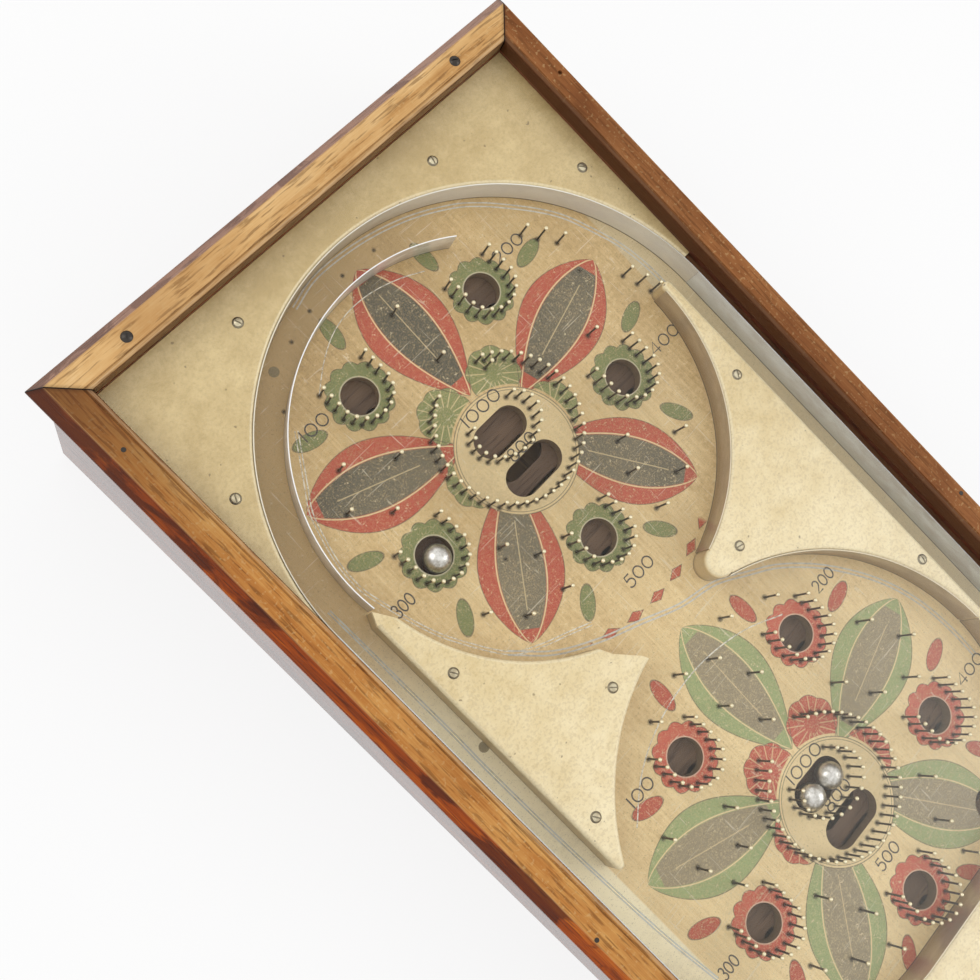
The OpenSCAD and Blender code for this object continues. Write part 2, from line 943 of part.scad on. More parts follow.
module return_board() {
    color([0.62, 0.5, 0.33])
        deck()
            difference() {
                block(-wall_x + 0.1, wall_x - 0.1, -445, wall_back - 7, return_low, return_top);
                block(lane_x - 10.5, lane_x + 11, -450, lift_y + 11, return_low - 1, return_top + 1);
            }
}

module trough_rail() {
    color([0.55, 0.4, 0.24])
        deck()
            translate([lane_x, lift_y, return_top])
                rotate([0, 0, -trough_turn])
                    block(-337, -11.5, -ball_r - free - 6, -ball_r - free, 0, 14);
}

module spring_post() {
    color([0.6, 0.6, 0.58])
        deck()
            translate([spring_x, 0, return_top])
                cylinder(d = 4, h = return_depth - 20.5);
}

module spring_anchor() {
    color([0.6, 0.6, 0.58])
        deck()
            union() {
                block(spring_x - 4, -108, 60, 68, shutter_low - 1.5, shutter_low);
                block(spring_x - 4, spring_x + 4, 62.5, 64, -33, shutter_low);
            }
}

module shutter_spring() {
    color([0.6, 0.6, 0.58])
        deck()
            translate([spring_x, 2.3, -26.5])
                rotate([-90, 0, 0])
                    coil(3.4, 0.9, 59.9, 30);
}

// low walls on the bottom that lead the coins to the door when the game is tipped back
module cash_walls() {
    color([0.58, 0.42, 0.25])
        intersection() {
            deck()
                translate([0, 0, -140])
                    linear_extrude(140 + return_low - 0.2)
                        for (q = [
                            [[-90, -515], [56, -70], [56, wall_back - 0.2]],
                            [[-34, -515], [154, -100], [160, -60]],
                        ])
                            polygon([
                                q[0], q[1], q[2], q[2] + [6, 0], q[1] + [6, -1], q[0] + [6, 0],
                            ]);
            above(bottom_t);
        }
}

module cash_door() {
    color([0.4, 0.19, 0.08])
        deck()
            difference() {
                intersection() {
                    block(door_x - door_width / 2 + door_gap, door_x + door_width / 2 - door_gap,
                        wall_back, case_back, door_low + door_gap, door_low + door_height - door_gap);
                    // the top edge is rounded about the hinge so that the door swings clear
                    rod_x(2 * (door_height - door_gap), hinge_y, door_low,
                        door_x - door_width, door_x + door_width);
                }
                rod_y(lock_d + 2 * running, door_x, door_low + 34, wall_back - 1, case_back + 1);
            }
}

// hinge: one leaf and its knuckles on each side of the pin
module knuckles(parts) {
    for (q = parts)
        rod_x(2 * hinge_r, hinge_y, door_low, q[0], q[1]);
}

module hinge_fixed() {
    color([0.7, 0.6, 0.36])
        deck() {
            union() {
                union() {
                    knuckles([[door_x - 24, door_x - 8.2], [door_x + 8.2, door_x + 24]]);
                    block(door_x - 24, door_x + 24, case_back, case_back + 0.9,
                        door_low - 11, door_low - hinge_r - 0.4);
                    for (s = [-1, 1])
                        translate([door_x + s * 16.1, 0, 0])
                            block(-7.9, 7.9, case_back, case_back + 0.9,
                                door_low - 4, door_low);
                }
            }
            rod_x(2, hinge_y, door_low, door_x - 24.5, door_x + 24.5);
        }
}

module hinge_moving() {
    color([0.7, 0.6, 0.36])
        deck()
            difference() {
                union() {
                    knuckles([[door_x - 7.9, door_x + 7.9]]);
                    block(door_x - 7.9, door_x + 7.9, case_back, case_back + 0.9,
                        door_low, door_low + 12);
                    block(door_x - 24, door_x + 24, case_back, case_back + 0.9,
                        door_low + hinge_r + 0.6, door_low + 12);
                }
                rod_x(2.1, hinge_y, door_low, door_x - 30, door_x + 30);
            }
}

module lock_barrel() {
    color([0.75, 0.72, 0.62])
        deck()
            difference() {
                union() {
                    rod_y(lock_d, door_x, door_low + 34, wall_back - 1.8, case_back + 0.3);
                    rod_y(lock_d + 5, door_x, door_low + 34, case_back + 0.3, case_back + 2);
                }
                block(door_x - 0.7, door_x + 0.7, case_back - 1, case_back + 3,
                    door_low + 30.5, door_low + 37.5);
            }
}

module lock_cam() {
    color([0.62, 0.62, 0.6])
        deck()
            union() {
                rod_y(12, door_x, door_low + 34, wall_back - 4, wall_back - 1.8);
                block(door_x - 16, door_x, wall_back - 4, wall_back - 1.8,
                    door_low + 30, door_low + 38);
            }
}

module plunger_housing() {
    color([0.72, 0.73, 0.72])
        deck()
            difference() {
                union() {
                    rod_y(17, lane_x, lane_z, case_front - 1, wall_front + 2);
                    rod_y(26, lane_x, lane_z, case_front - 3, case_front);
                }
                rod_y(rod_d + 2 * running, lane_x, lane_z, case_front - 8, wall_front + 8);
            }
}

module plunger_rod() {
    color([0.75, 0.76, 0.77])
        deck() {
            rod_y(rod_d, lane_x, lane_z, case_front - 7.5, tip_y - 5);
            rod_y(11, lane_x, lane_z, tip_y - 12, tip_y - 9);
        }
}

module plunger_tip() {
    color([0.15, 0.13, 0.12])
        deck()
            difference() {
                rod_y(9.5, lane_x, lane_z, tip_y - 8.9, tip_y);
                rod_y(rod_d, lane_x, lane_z, tip_y - 10, tip_y - 5);
            }
}

module plunger_knob() {
    color([0.1, 0.1, 0.1])
        deck()
            translate([lane_x, case_front - 3.5, lane_z])
                rotate([90, 0, 0])
                    difference() {
                        union() {
                            translate([0, 0, 13])
                                intersection() {
                                    sphere(d = knob_d);
                                    cube([50, 50, 20], center = true);
                                }
                            cylinder(d = 12, h = 8);
                        }
                        translate([0, 0, -1])
                            cylinder(d = rod_d, h = 5);
                    }
}

module plunger_spring() {
    color([0.6, 0.6, 0.58])
        deck()
            translate([lane_x, wall_front + 2.2, lane_z])
                rotate([-90, 0, 0])
                    coil(4.5, 1.2, tip_y - 12 - wall_front - 2.4, 10);
}

module lift_lever() {
    color([0.66, 0.66, 0.65])
        deck()
            difference() {
                union() {
                    translate([lane_x - lever_t / 2, 0, 0])
                        rotate([90, 0, 90])
                            linear_extrude(lever_t)
                                polygon([
                                    [pivot_y - 3, pivot_z - 5], [pivot_y + 14, pivot_z - 9],
                                    [pivot_y + 44, return_top - 8.6],
                                    [lift_y + 4, return_top - 8.6],
                                    [lift_y + 4, return_top - 1.5],
                                    [lift_y - 4, return_top - 1.5],
                                    [lift_y - 6, return_top - 4.5],
                                    [pivot_y + 50, return_top - 4.5],
                                    [pivot_y + 20, pivot_z], [pivot_y + 3, pivot_z + 5],
                                    [pivot_y - 50, pivot_z + 14], [pivot_y - 59, pivot_z + 15.5],
                                    [pivot_y - 59, pivot_z + 9.5], [pivot_y - 50, pivot_z + 8],
                                ]);
                    rod_x(10, pivot_y, pivot_z, lane_x - 4, lane_x + 4);
                    translate([lane_x, lift_y, return_top - 3])
                        cylinder(d = 16, h = 4.2);
                }
                rod_x(pivot_d + 2 * running, pivot_y, pivot_z, lane_x - 9, lane_x + 9);
                translate([lane_x, lift_y, return_top + ball_r])
                    sphere(r = ball_r + free);
            }
}

module lift_knob() {
    color([0.1, 0.1, 0.1])
        deck()
            difference() {
                translate([lane_x, pivot_y - 60.5, pivot_z + 12.5])
                    intersection() {
                        sphere(d = lift_knob_d);
                        cube([9, 30, 30], center = true);
                    }
                block(lane_x - lever_t / 2, lane_x + lever_t / 2, pivot_y - 59, pivot_y - 40,
                    pivot_z, pivot_z + 30);
            }
}

module lift_pin() {
    color([0.7, 0.7, 0.7])
        deck()
            rod_x(pivot_d, pivot_y, pivot_z, lane_x - 11, lane_x + 11);
}

module lift_bracket() {
    color([0.6, 0.6, 0.58])
        deck()
            difference() {
                union() {
                    for (s = [-1, 1])
                        translate([lane_x + s * 8, 0, 0])
                            block(-1.25, 1.25, wall_front + 1.8, pivot_y + 6,
                                pivot_z - 7, pivot_z + 7);
                    block(lane_x - 9.25, lane_x + 9.25, wall_front, wall_front + 2,
                        pivot_z - 17, pivot_z + 11.5);
                }
                block(lane_x - 4, lane_x + 4, wall_front - 1, wall_front + 3,
                    pivot_z - 14.5, pivot_z + 15);
                rod_x(pivot_d, pivot_y, pivot_z, lane_x - 15, lane_x + 15);
            }
}

module lift_plate() {
    color([0.72, 0.73, 0.72])
        deck()
            difference() {
                block(lane_x - 12, lane_x + 12, case_front - 1.5, case_front,
                    pivot_z - 19.5, pivot_z + 17);
                block(lane_x - lever_t / 2 - 1.4, lane_x + lever_t / 2 + 1.4,
                    case_front - 5, case_front + 1, pivot_z - 16.5, pivot_z + 14.5);
            }
}

side_left();
side_right();
back_board();
front_board();
bottom_board();
rail_left();
rail_right();
rail_back();
rail_front();
case_screws();
frame_nails();
glass_pane();
field_upper();
field_lower();
cleats();
arch_plate();
island_right();
island_left();
lower_plate();
plate_screws();
lane_strips();
lane_fillers();
arch_ribbon();
arc_rail();
ribbon_upper();
ribbon_lower();
ribbon_front();
pins_upper();
pins_lower();
balls_in_play();
balls_waiting();
ball_on_lift();
shutter_board();
shutter_studs();
coin_slide();
slide_rivets();
coin_housing();
coin_chute();
return_board();
trough_rail();
spring_post();
spring_anchor();
shutter_spring();
cash_walls();
cash_door();
hinge_fixed();
hinge_moving();
lock_barrel();
lock_cam();
plunger_housing();
plunger_rod();
plunger_tip();
plunger_knob();
plunger_spring();
lift_lever();
lift_knob();
lift_pin();
lift_bracket();
lift_plate();
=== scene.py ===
"""Looks of the tabletop pinball game: printed field, lacquered plates, varnished case, steel and glass."""

import math

import bpy
import numpy as np
from mathutils import Matrix, Vector


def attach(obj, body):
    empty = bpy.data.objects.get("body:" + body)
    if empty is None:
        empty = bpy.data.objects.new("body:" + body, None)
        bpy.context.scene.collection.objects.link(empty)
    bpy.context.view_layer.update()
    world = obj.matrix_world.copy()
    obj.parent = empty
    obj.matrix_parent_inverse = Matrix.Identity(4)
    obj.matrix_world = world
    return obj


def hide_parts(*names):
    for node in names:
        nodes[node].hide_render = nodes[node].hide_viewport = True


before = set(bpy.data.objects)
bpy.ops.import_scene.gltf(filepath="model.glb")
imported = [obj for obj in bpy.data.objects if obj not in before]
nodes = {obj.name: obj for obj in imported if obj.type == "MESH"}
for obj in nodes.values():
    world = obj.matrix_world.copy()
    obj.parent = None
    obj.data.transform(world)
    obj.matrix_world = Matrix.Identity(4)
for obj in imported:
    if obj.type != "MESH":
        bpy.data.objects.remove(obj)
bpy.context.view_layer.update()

# The deck's axes: millimetres, X to the right, Y to the back, Z off the playfield, origin at the
# upper circle. They are the part's axes turned by the slope about X and lifted.
SLOPE = math.radians(5.0)
MID_Y = -172.5
HEIGHT = 77.6

# Half sizes of the frame and of its opening, the width of its chamfer, the height of its top, and
# the dark bead's distance from the opening
FRAME_X, FRAME_Y = 203.0, 381.0
OPEN_X, OPEN_Y = 176.3, 354.3
CHAMFER = 7.5
RAIL_TOP = 39.0
BEAD = 3.6

# Centres of the two printed circles, radius of their rings of pockets, and the print's turn
UPPER = (-0.7, 0.5)
LOWER = (-11.4, -314.3)
UPPER_RING, LOWER_RING = 94.7, 98.8
TURN = math.radians(2.0)
FIFTH = 2.0 * math.pi / 5.0

# The printed motifs: the disc about the slots, rosettes, shells, leaves and buds
DISC_SHIFT = (-2.0, -16.5)
DISC_R = 42.5
# RIM_R is the radius of a pale ring round each pocket, a painted highlight on its edge.
ROSETTE_R, ROSETTE_LOBE, RIM_R = 20.6, 2.6, 13.3
SHELL_AT, SHELL_R, SHELL_LOBE = 38.0, 17.6, 1.6
SHELL_RIB = math.radians(22.5)
LEAF_FOOT, LEAF_TIP, LEAF_HALF = 30.0, 139.0, 29.0
CORE_SHARE, CORE_FOOT, CORE_TIP = 0.56, 43.0, 130.0
VEIN_FOOT, VEIN_TIP = 60.0, 118.0
BUD_ASIDE, BUD_AT, BUD_R = 42.0, 125.0, 5.6
LOZENGE_AT, LOZENGE_LONG, LOZENGE_WIDE = 149.5, 7.0, 3.4
LOZENGE_STEP, LOZENGE_SHIFT, LOZENGE_SPAN = (math.radians(a) for a in (8.0, 3.0, 23.0))

# Centre and radius of the steel arc rail about the upper circle, and the inner edge of the two lanes
ARC_RAIL_AT, ARC_RAIL_R = (-11.2, -4.5), 136.0
LANE_EDGE = 152.5

# Heights of the plates, the pins' heads and the foot of the plate screws' slots; centre line of the
# ball lane, and the two ends between which the plunger's spring is held
PLATE_TOP = 22.0
PIN_HEAD = 18.6
SLOT_FOOT = 22.95
LANE_X, LANE_Z = 163.0, 9.525
FRONT_WALL, COLLAR = -526.8, -465.0

AXES = {"x": 0, "y": 1, "z": 2}


def srgb(r, g, b):
    """Linear colour of an 8-bit screen colour."""
    c = np.array([r, g, b]) / 255.0
    lin = np.where(c <= 0.04045, c / 12.92, ((c + 0.055) / 1.055) ** 2.4)
    return tuple(float(v) for v in lin) + (1.0,)


def deck(points):
    """Deck millimetres to part metres: turn by the slope about X, then lift to the deck's height."""
    p = np.asarray(points, float).reshape(-1, 3)
    y = p[:, 1] - MID_Y
    c, s = math.cos(SLOPE), math.sin(SLOPE)
    out = np.column_stack([p[:, 0], y * c - p[:, 2] * s, HEIGHT + y * s + p[:, 2] * c])
    return out / 1000.0


class Value:
    """A shader socket that takes part in Python expressions."""

    def __init__(self, shade, socket):
        self.shade = shade
        self.socket = socket

    def _op(self, kind, *args, clamp=False):
        """A Math node of an operation on values or numbers."""
        settings = {"operation": kind, "use_clamp": clamp}
        return self.shade.node("ShaderNodeMath", settings, dict(enumerate(args)))

    def __add__(self, o):
        return self._op("ADD", self, o)

    __radd__ = __add__

    def __sub__(self, o):
        return self._op("SUBTRACT", self, o)

    def __rsub__(self, o):
        return self._op("SUBTRACT", o, self)

    def __mul__(self, o):
        return self._op("MULTIPLY", self, o)

    __rmul__ = __mul__

    def __truediv__(self, o):
        return self._op("DIVIDE", self, o)

    def __rtruediv__(self, o):
        return self._op("DIVIDE", o, self)

    def __pow__(self, o):
        return self._op("POWER", self, o)

    def __abs__(self):
        return self._op("ABSOLUTE", self)

    def least(self, o):
        """The lesser of two values."""
        return self._op("MINIMUM", self, o)

    def most(self, o):
        """The greater of two values."""
        return self._op("MAXIMUM", self, o)

    def fn(self, kind, *args):
        """Any other operation of the Math node."""
        return self._op(kind, self, *args)

    def held(self, more=0.0):
        """The value and some more, held between 0 and 1."""
        return self._op("ADD", self, more, clamp=True)

    def below(self, edge, soft=0.25):
        """1 where the value lies under the edge, 0 above, over a band of width 2 soft about it."""
        return ((edge - self) * (0.5 / soft)).held(0.5)

    def above(self, edge, soft=0.25):
        """1 where the value lies over the edge, 0 under it."""
        return 1.0 - self.below(edge, soft)


class NodeTree:
    """An emptied node tree and the one way to put nodes in it."""

    def __init__(self, tree):
        self.tree = tree
        tree.nodes.clear()

    def feed(self, socket, value):
        """Link a value to a socket, or write a constant in it."""
        if isinstance(value, Value):
            self.tree.links.new(value.socket, socket)
        elif value is not None:
            socket.default_value = value

    def node(self, kind, settings=None, inputs=None, output=0):
        """A node of a type, with its settings and the values of its sockets; gives one output."""
        node = self.tree.nodes.new(kind)
        for key, val in (settings or {}).items():
            if key == "stops":
                ramp = node.color_ramp
                while len(ramp.elements) < len(val):
                    ramp.elements.new(0.5)
                for el, (pos, col) in zip(ramp.elements, val):
                    el.position = pos
                    el.color = col
            else:
                setattr(node, key, val)
        for key, val in (inputs or {}).items():
            self.feed(node.inputs[key], val)
        return Value(self, node.outputs[output])

    def seen_directly(self):
        """1 for the rays that show a surface: from the camera, a reflection or through the glass."""
        kinds = ("Is Camera Ray", "Is Glossy Ray", "Is Transmission Ray")
        camera, glossy, through = (self.node("ShaderNodeLightPath", output=kind) for kind in kinds)
        return camera.most(glossy).most(through)


class Shade(NodeTree):
    """One material's node tree, with the part's coordinates in deck millimetres."""

    def __init__(self, name):
        self.mat = bpy.data.materials.new(name)
        self.mat.use_nodes = True
        super().__init__(self.mat.node_tree)
        self.out = self.tree.nodes.new("ShaderNodeOutputMaterial")
        self.bsdf = self.tree.nodes.new("ShaderNodeBsdfPrincipled")
        self.tree.links.new(self.bsdf.outputs[0], self.out.inputs[0])
        self._deck = None

    def deck_vector(self):
        """Object coordinates turned into the deck's axes, in metres."""
        if self._deck is None:
            obj = self.node("ShaderNodeTexCoord", output="Object")
            self._deck = self.node(
                "ShaderNodeMapping",
                {"vector_type": "POINT"},
                {"Vector": obj, "Rotation": (-SLOPE, 0.0, 0.0)},
            )
        return self._deck

    def deck_xyz(self):
        """x, y and z in deck millimetres."""
        sep = self.tree.nodes.new("ShaderNodeSeparateXYZ")
        self.feed(sep.inputs[0], self.deck_vector())
        x, y, z = (Value(self, sep.outputs[i]) for i in range(3))
        shift_y = HEIGHT * math.sin(SLOPE)
        shift_z = HEIGHT * math.cos(SLOPE)
        return x * 1000.0, y * 1000.0 + (MID_Y - shift_y), z * 1000.0 - shift_z

    def stretched(self, scale, offset=(0.0, 0.0, 0.0)):
        """The deck's axes scaled per metre, for a pattern drawn out along one of them."""
        return self.node(
            "ShaderNodeMapping",
            {"vector_type": "POINT"},
            {"Vector": self.deck_vector(), "Scale": scale, "Location": offset},
        )

    def noise(self, vector, detail, rough, warp=0.0):
        """Noise with one wave per unit of the vector."""
        return self.node(
            "ShaderNodeTexNoise",
            {"noise_dimensions": "3D"},
            {"Vector": vector, "Scale": 1.0, "Detail": detail, "Roughness": rough, "Distortion": warp},
        )

    def even_noise(self, scale, detail, rough, warp=0.0, offset=(0.0, 0.0, 0.0)):
        """Noise equally fine in all directions, its scale in waves per metre."""
        return self.noise(self.stretched((scale, scale, scale), offset), detail, rough, warp)

    def ramp(self, value, stops):
        """Colour along a ramp of places and colours."""
        return self.node("ShaderNodeValToRGB", {"stops": stops}, {0: value})

    def mix(self, factor, a, b):
        """Colour a where the factor is 0, b where it is 1."""
        return self.node("ShaderNodeMix", {"data_type": "RGBA"}, {0: factor, 6: a, 7: b}, output=2)

    def bump(self, height, strength, distance):
        """Normal of a relief; the distance is in metres."""
        return self.node(
            "ShaderNodeBump", None, {"Strength": strength, "Distance": distance, "Height": height}
        )

    def set(self, **sockets):
        """Feed the surface's sockets, named with _ for a blank."""
        for key, val in sockets.items():
            self.feed(self.bsdf.inputs[key.replace("_", " ")], val)


def paint(mat, *names):
    """Give CAD nodes a material in every slot."""
    for n in names:
        mesh = nodes[n].data
        if len(mesh.materials) == 0:
            mesh.materials.append(mat)
        for i in range(len(mesh.materials)):
            mesh.materials[i] = mat


def grain(s, along, coarse, fine):
    """Vectors stretched along one deck axis: long waves, fibres and pores."""
    axis = AXES[along]
    waves, fibre, pore = [coarse] * 3, [fine] * 3, [fine * 0.55] * 3
    waves[axis], fibre[axis], pore[axis] = coarse * 0.07, fine * 0.03, fine * 0.045
    return (
        s.stretched(tuple(waves), (3.1, 1.7, 0.4)),
        s.stretched(tuple(fibre), (0.3, 5.2, 2.2)),
        s.stretched(tuple(pore), (7.3, 0.2, 4.4)),
    )


def wood(name, along, stops, pore_tone, rough, coat=0.0):
    """Straight-grained wood: long colour waves, fine fibres, short dark pores."""
    s = Shade(name)
    wave_v, fibre_v, pore_v = grain(s, along, coarse=40.0, fine=900.0)
    wave = s.noise(wave_v, 4.0, 0.6, 0.6)
    fibre = s.noise(fibre_v, 3.0, 0.6)
    pore = s.noise(pore_v, 2.0, 0.5).above(0.6, 0.05) * 0.6
    col = s.mix(pore, s.ramp(wave * 0.75 + fibre * 0.35 - 0.05, stops), pore_tone)
    s.set(Base_Color=col, Roughness=rough + 0.25 * (fibre - 0.5) + 0.1 * pore)
    s.set(Normal=s.bump(fibre - pore * 0.6, 0.25, 0.0003))
    if coat:
        s.set(Coat_Weight=coat, Coat_Roughness=0.16)
    return s, col, wave, fibre


def frame_rail(name, along, tones, slope_tones, inside, corner=0.0):
    """Amber varnished oak: blotched top, long grain, dark pores, a bevel of its own colour that holds
    painted light and shade, a dark hairline at the mitres and on the inner bead, painted shade on the
    inner faces of the opening; inside darkens the inner edge, corner the back end."""
    s = Shade(name)
    wave_v, fibre_v, pore_v = grain(s, along, coarse=46.0, fine=1100.0)
    wave = s.noise(wave_v, 5.0, 0.62, 0.8)
    fibre = s.noise(fibre_v, 3.0, 0.6)
    pore = s.noise(pore_v, 2.0, 0.5).above(0.585, 0.05)
    blotch = s.even_noise(22.0, 5.0, 0.62, 0.3, offset=(1.0, 2.0, 3.0))
    speck = s.even_noise(420.0, 2.0, 0.5)
    x, y, z = s.deck_xyz()
    top = s.ramp(
        wave * 0.6 + fibre * 0.25 + blotch * 0.35 - 0.1,
        [(0.28, tones[0]), (0.44, tones[1]), (0.58, tones[2]), (0.74, tones[3])],
    )
    top = s.mix(pore * 0.5, top, srgb(92, 54, 24))
    top = s.mix(speck.above(0.64, 0.05) * 0.3, top, srgb(218, 184, 130))
    patch = s.even_noise(7.0, 3.0, 0.6, 0.5, offset=(4.0, 0.5, 1.0))
    top = s.mix(patch.above(0.56, 0.1) * 0.35, top, tones[0])
    # The bevel's tones, given per rail, hold painted light and shade.
    slope_col = s.ramp(
        wave * 0.8 + fibre * 0.3 - 0.05,
        [(0.3, slope_tones[0]), (0.5, slope_tones[1]), (0.7, slope_tones[2])],
    )
    flame = s.noise(s.stretched((24.0, 11.0, 24.0), (2.0, 3.5, 0.0)), 4.0, 0.6, 1.4)
    slope_col = s.mix(flame.above(0.54, 0.03) * 0.75, slope_col, slope_tones[0])
    slope_col = s.mix(pore * 0.5, slope_col, srgb(58, 20, 6))
    ax, ay = abs(x), abs(y - MID_Y)

    def within(grow, soft):
        """1 inside the opening grown by some millimetres."""
        return ax.below(OPEN_X + grow, soft) * ay.below(OPEN_Y + grow, soft)

    depth = (ax - (FRAME_X - CHAMFER)).most(ay - (FRAME_Y - CHAMFER))
    outer = depth.above(0.0, 0.5)
    # Painted shade: the inner faces of the opening, under the top, are darkened to a dark brown.
    inner = within(0.6, 0.15).least(z.below(RAIL_TOP - 0.2, 0.3))
    col = s.mix(outer, top, slope_col)
    col = s.mix(inner * 0.75, col, srgb(72, 42, 24))
    lip = within(2.9, 0.15) * (fibre * 0.5 + 0.6)
    col = s.mix(lip.held() * inside, col, srgb(76, 44, 24))
    if corner:
        far = ((y - 40.0) / 170.0).held() * (0.5 + wave)
        col = s.mix(far.held() * corner, col, srgb(84, 40, 20))
    arris = abs(depth).below(0.45, 0.4) * fibre.above(0.42, 0.1)
    col = s.mix(arris * 0.5, col, srgb(196, 150, 96))
    bead_long = abs(ax - (OPEN_X + BEAD)).below(0.5, 0.25) * ay.below(OPEN_Y + BEAD + 0.5, 0.5)
    bead_across = abs(ay - (OPEN_Y + BEAD)).below(0.5, 0.25) * ax.below(OPEN_X + BEAD + 0.5, 0.5)
    col = s.mix(bead_long.most(bead_across) * 0.4, col, srgb(84, 50, 26))
    rim = within(2.5, 0.3) * z.above(RAIL_TOP - 0.4, 0.2)
    col = s.mix(rim * fibre.above(0.45, 0.1) * (0.5 - 0.5 * inside), col, srgb(222, 190, 150))
    joint = abs(ax - ay + (FRAME_Y - FRAME_X))
    crack = joint.below(0.6, 0.2)
    grime = joint.below(2.0, 1.6) * 0.4
    col = s.mix(grime.most(crack), col, srgb(26, 14, 8))
    s.set(Base_Color=col, Roughness=0.36 + 0.3 * (fibre - 0.5) + 0.15 * blotch)
    s.set(Normal=s.bump(fibre * 0.8 + speck * 0.3 - pore * 0.5 - crack * 2.0, 0.3, 0.0003))
    s.set(Specular_IOR_Level=0.12)
    return s.mat


def polar(x, y, centre):
    """Distance from a centre, and the angle from the back, clockwise."""
    dx, dy = x - centre[0], y - centre[1]
    return (dx * dx + dy * dy).fn("SQRT"), dx.fn("ARCTAN2", dy)


def fold(angle, step):
    """Angle from the nearest multiple of a step; whole turns are added to keep the sum positive."""
    return (angle + (8.0 * math.pi + step / 2.0)).fn("FLOORED_MODULO", step) - step / 2.0


def circle_print(x, y, centre, ring):
    """Masks of one printed circle, folded to a fifth of a turn: a rosette of twelve round lobes at
    each pocket, a shell between it and the middle, a leaf with a veined core between two pockets,
    and buds beside the leaf's tip. The disc about the two slots lies over the leaves and shells. The
    rim mask is no print but a pale ring round each pocket, a painted highlight on the pocket's edge."""
    r, angle = polar(x, y, centre)
    a = angle - TURN
    at_pocket = fold(a + FIFTH / 2.0, FIFTH)
    at_leaf = fold(a, FIFTH)
    lx, ly = r * at_pocket.fn("SINE"), r * at_pocket.fn("COSINE")
    rr, ta = polar(lx, ly, (0.0, ring))
    edge = rr - ROSETTE_LOBE * abs((ta * 6.0).fn("COSINE"))
    rosette = edge.below(ROSETTE_R)
    shell_r, shell_a = polar(lx, ly, (0.0, SHELL_AT))
    shell_edge = shell_r - SHELL_LOBE * abs((shell_a * 4.0).fn("COSINE"))
    disc_r, _ = polar(x, y, (centre[0] + DISC_SHIFT[0], centre[1] + DISC_SHIFT[1]))
    shell = shell_edge.below(SHELL_R) * disc_r.above(DISC_R + 2.0)
    ribs = abs(fold(shell_a, SHELL_RIB)) * shell_r
    across, along = r * at_leaf.fn("SINE"), r * at_leaf.fn("COSINE")
    t = ((along - LEAF_FOOT) / (LEAF_TIP - LEAF_FOOT)).held()
    half = LEAF_HALF * ((t**1.2) * math.pi).fn("SINE").most(0.0001) ** 0.72
    span = along.above(LEAF_FOOT) * along.below(LEAF_TIP)
    leaf = (abs(across) - half).below(0.0) * span
    core = (abs(across) - half * CORE_SHARE).below(-0.4) * along.above(CORE_FOOT) * along.below(CORE_TIP)
    gap = abs(abs(across) - half * CORE_SHARE - 0.4).below(0.45) * leaf
    vein = abs(across).below(0.35, 0.2) * along.above(VEIN_FOOT) * along.below(VEIN_TIP)
    bud_x, bud_y = abs(at_leaf) * r - BUD_ASIDE, (r - BUD_AT) * 0.5
    bud_r = (bud_x * bud_x + bud_y * bud_y).fn("SQRT")
    lines = abs(edge - ROSETTE_R).below(0.3, 0.2)
    for other in (
        abs(shell_edge - SHELL_R).below(0.25, 0.2),
        abs(abs(across) - half).below(0.3, 0.2) * span,
        abs(bud_r - BUD_R).below(0.25, 0.2),
    ):
        lines = lines.most(other)
    lines = (lines * disc_r.above(DISC_R)).most(abs(disc_r - DISC_R).below(0.3, 0.2))
    return {
        "rosette": rosette,
        # Painted highlight: a pale disc round each pocket, seen as a ring about the hole.
        "rim": rr.below(RIM_R, 0.35),
        "shell": shell,
        "ribs": ribs.below(0.35, 0.2) * shell * shell_r.above(6.0),
        "leaf": leaf,
        "gap": gap,
        "core": core,
        "vein": vein,
        "bud": bud_r.below(BUD_R),
        "disc": disc_r.below(DISC_R),
        "hair": abs(disc_r - DISC_R + 1.8).below(0.22, 0.15),
        "line": lines,
    }


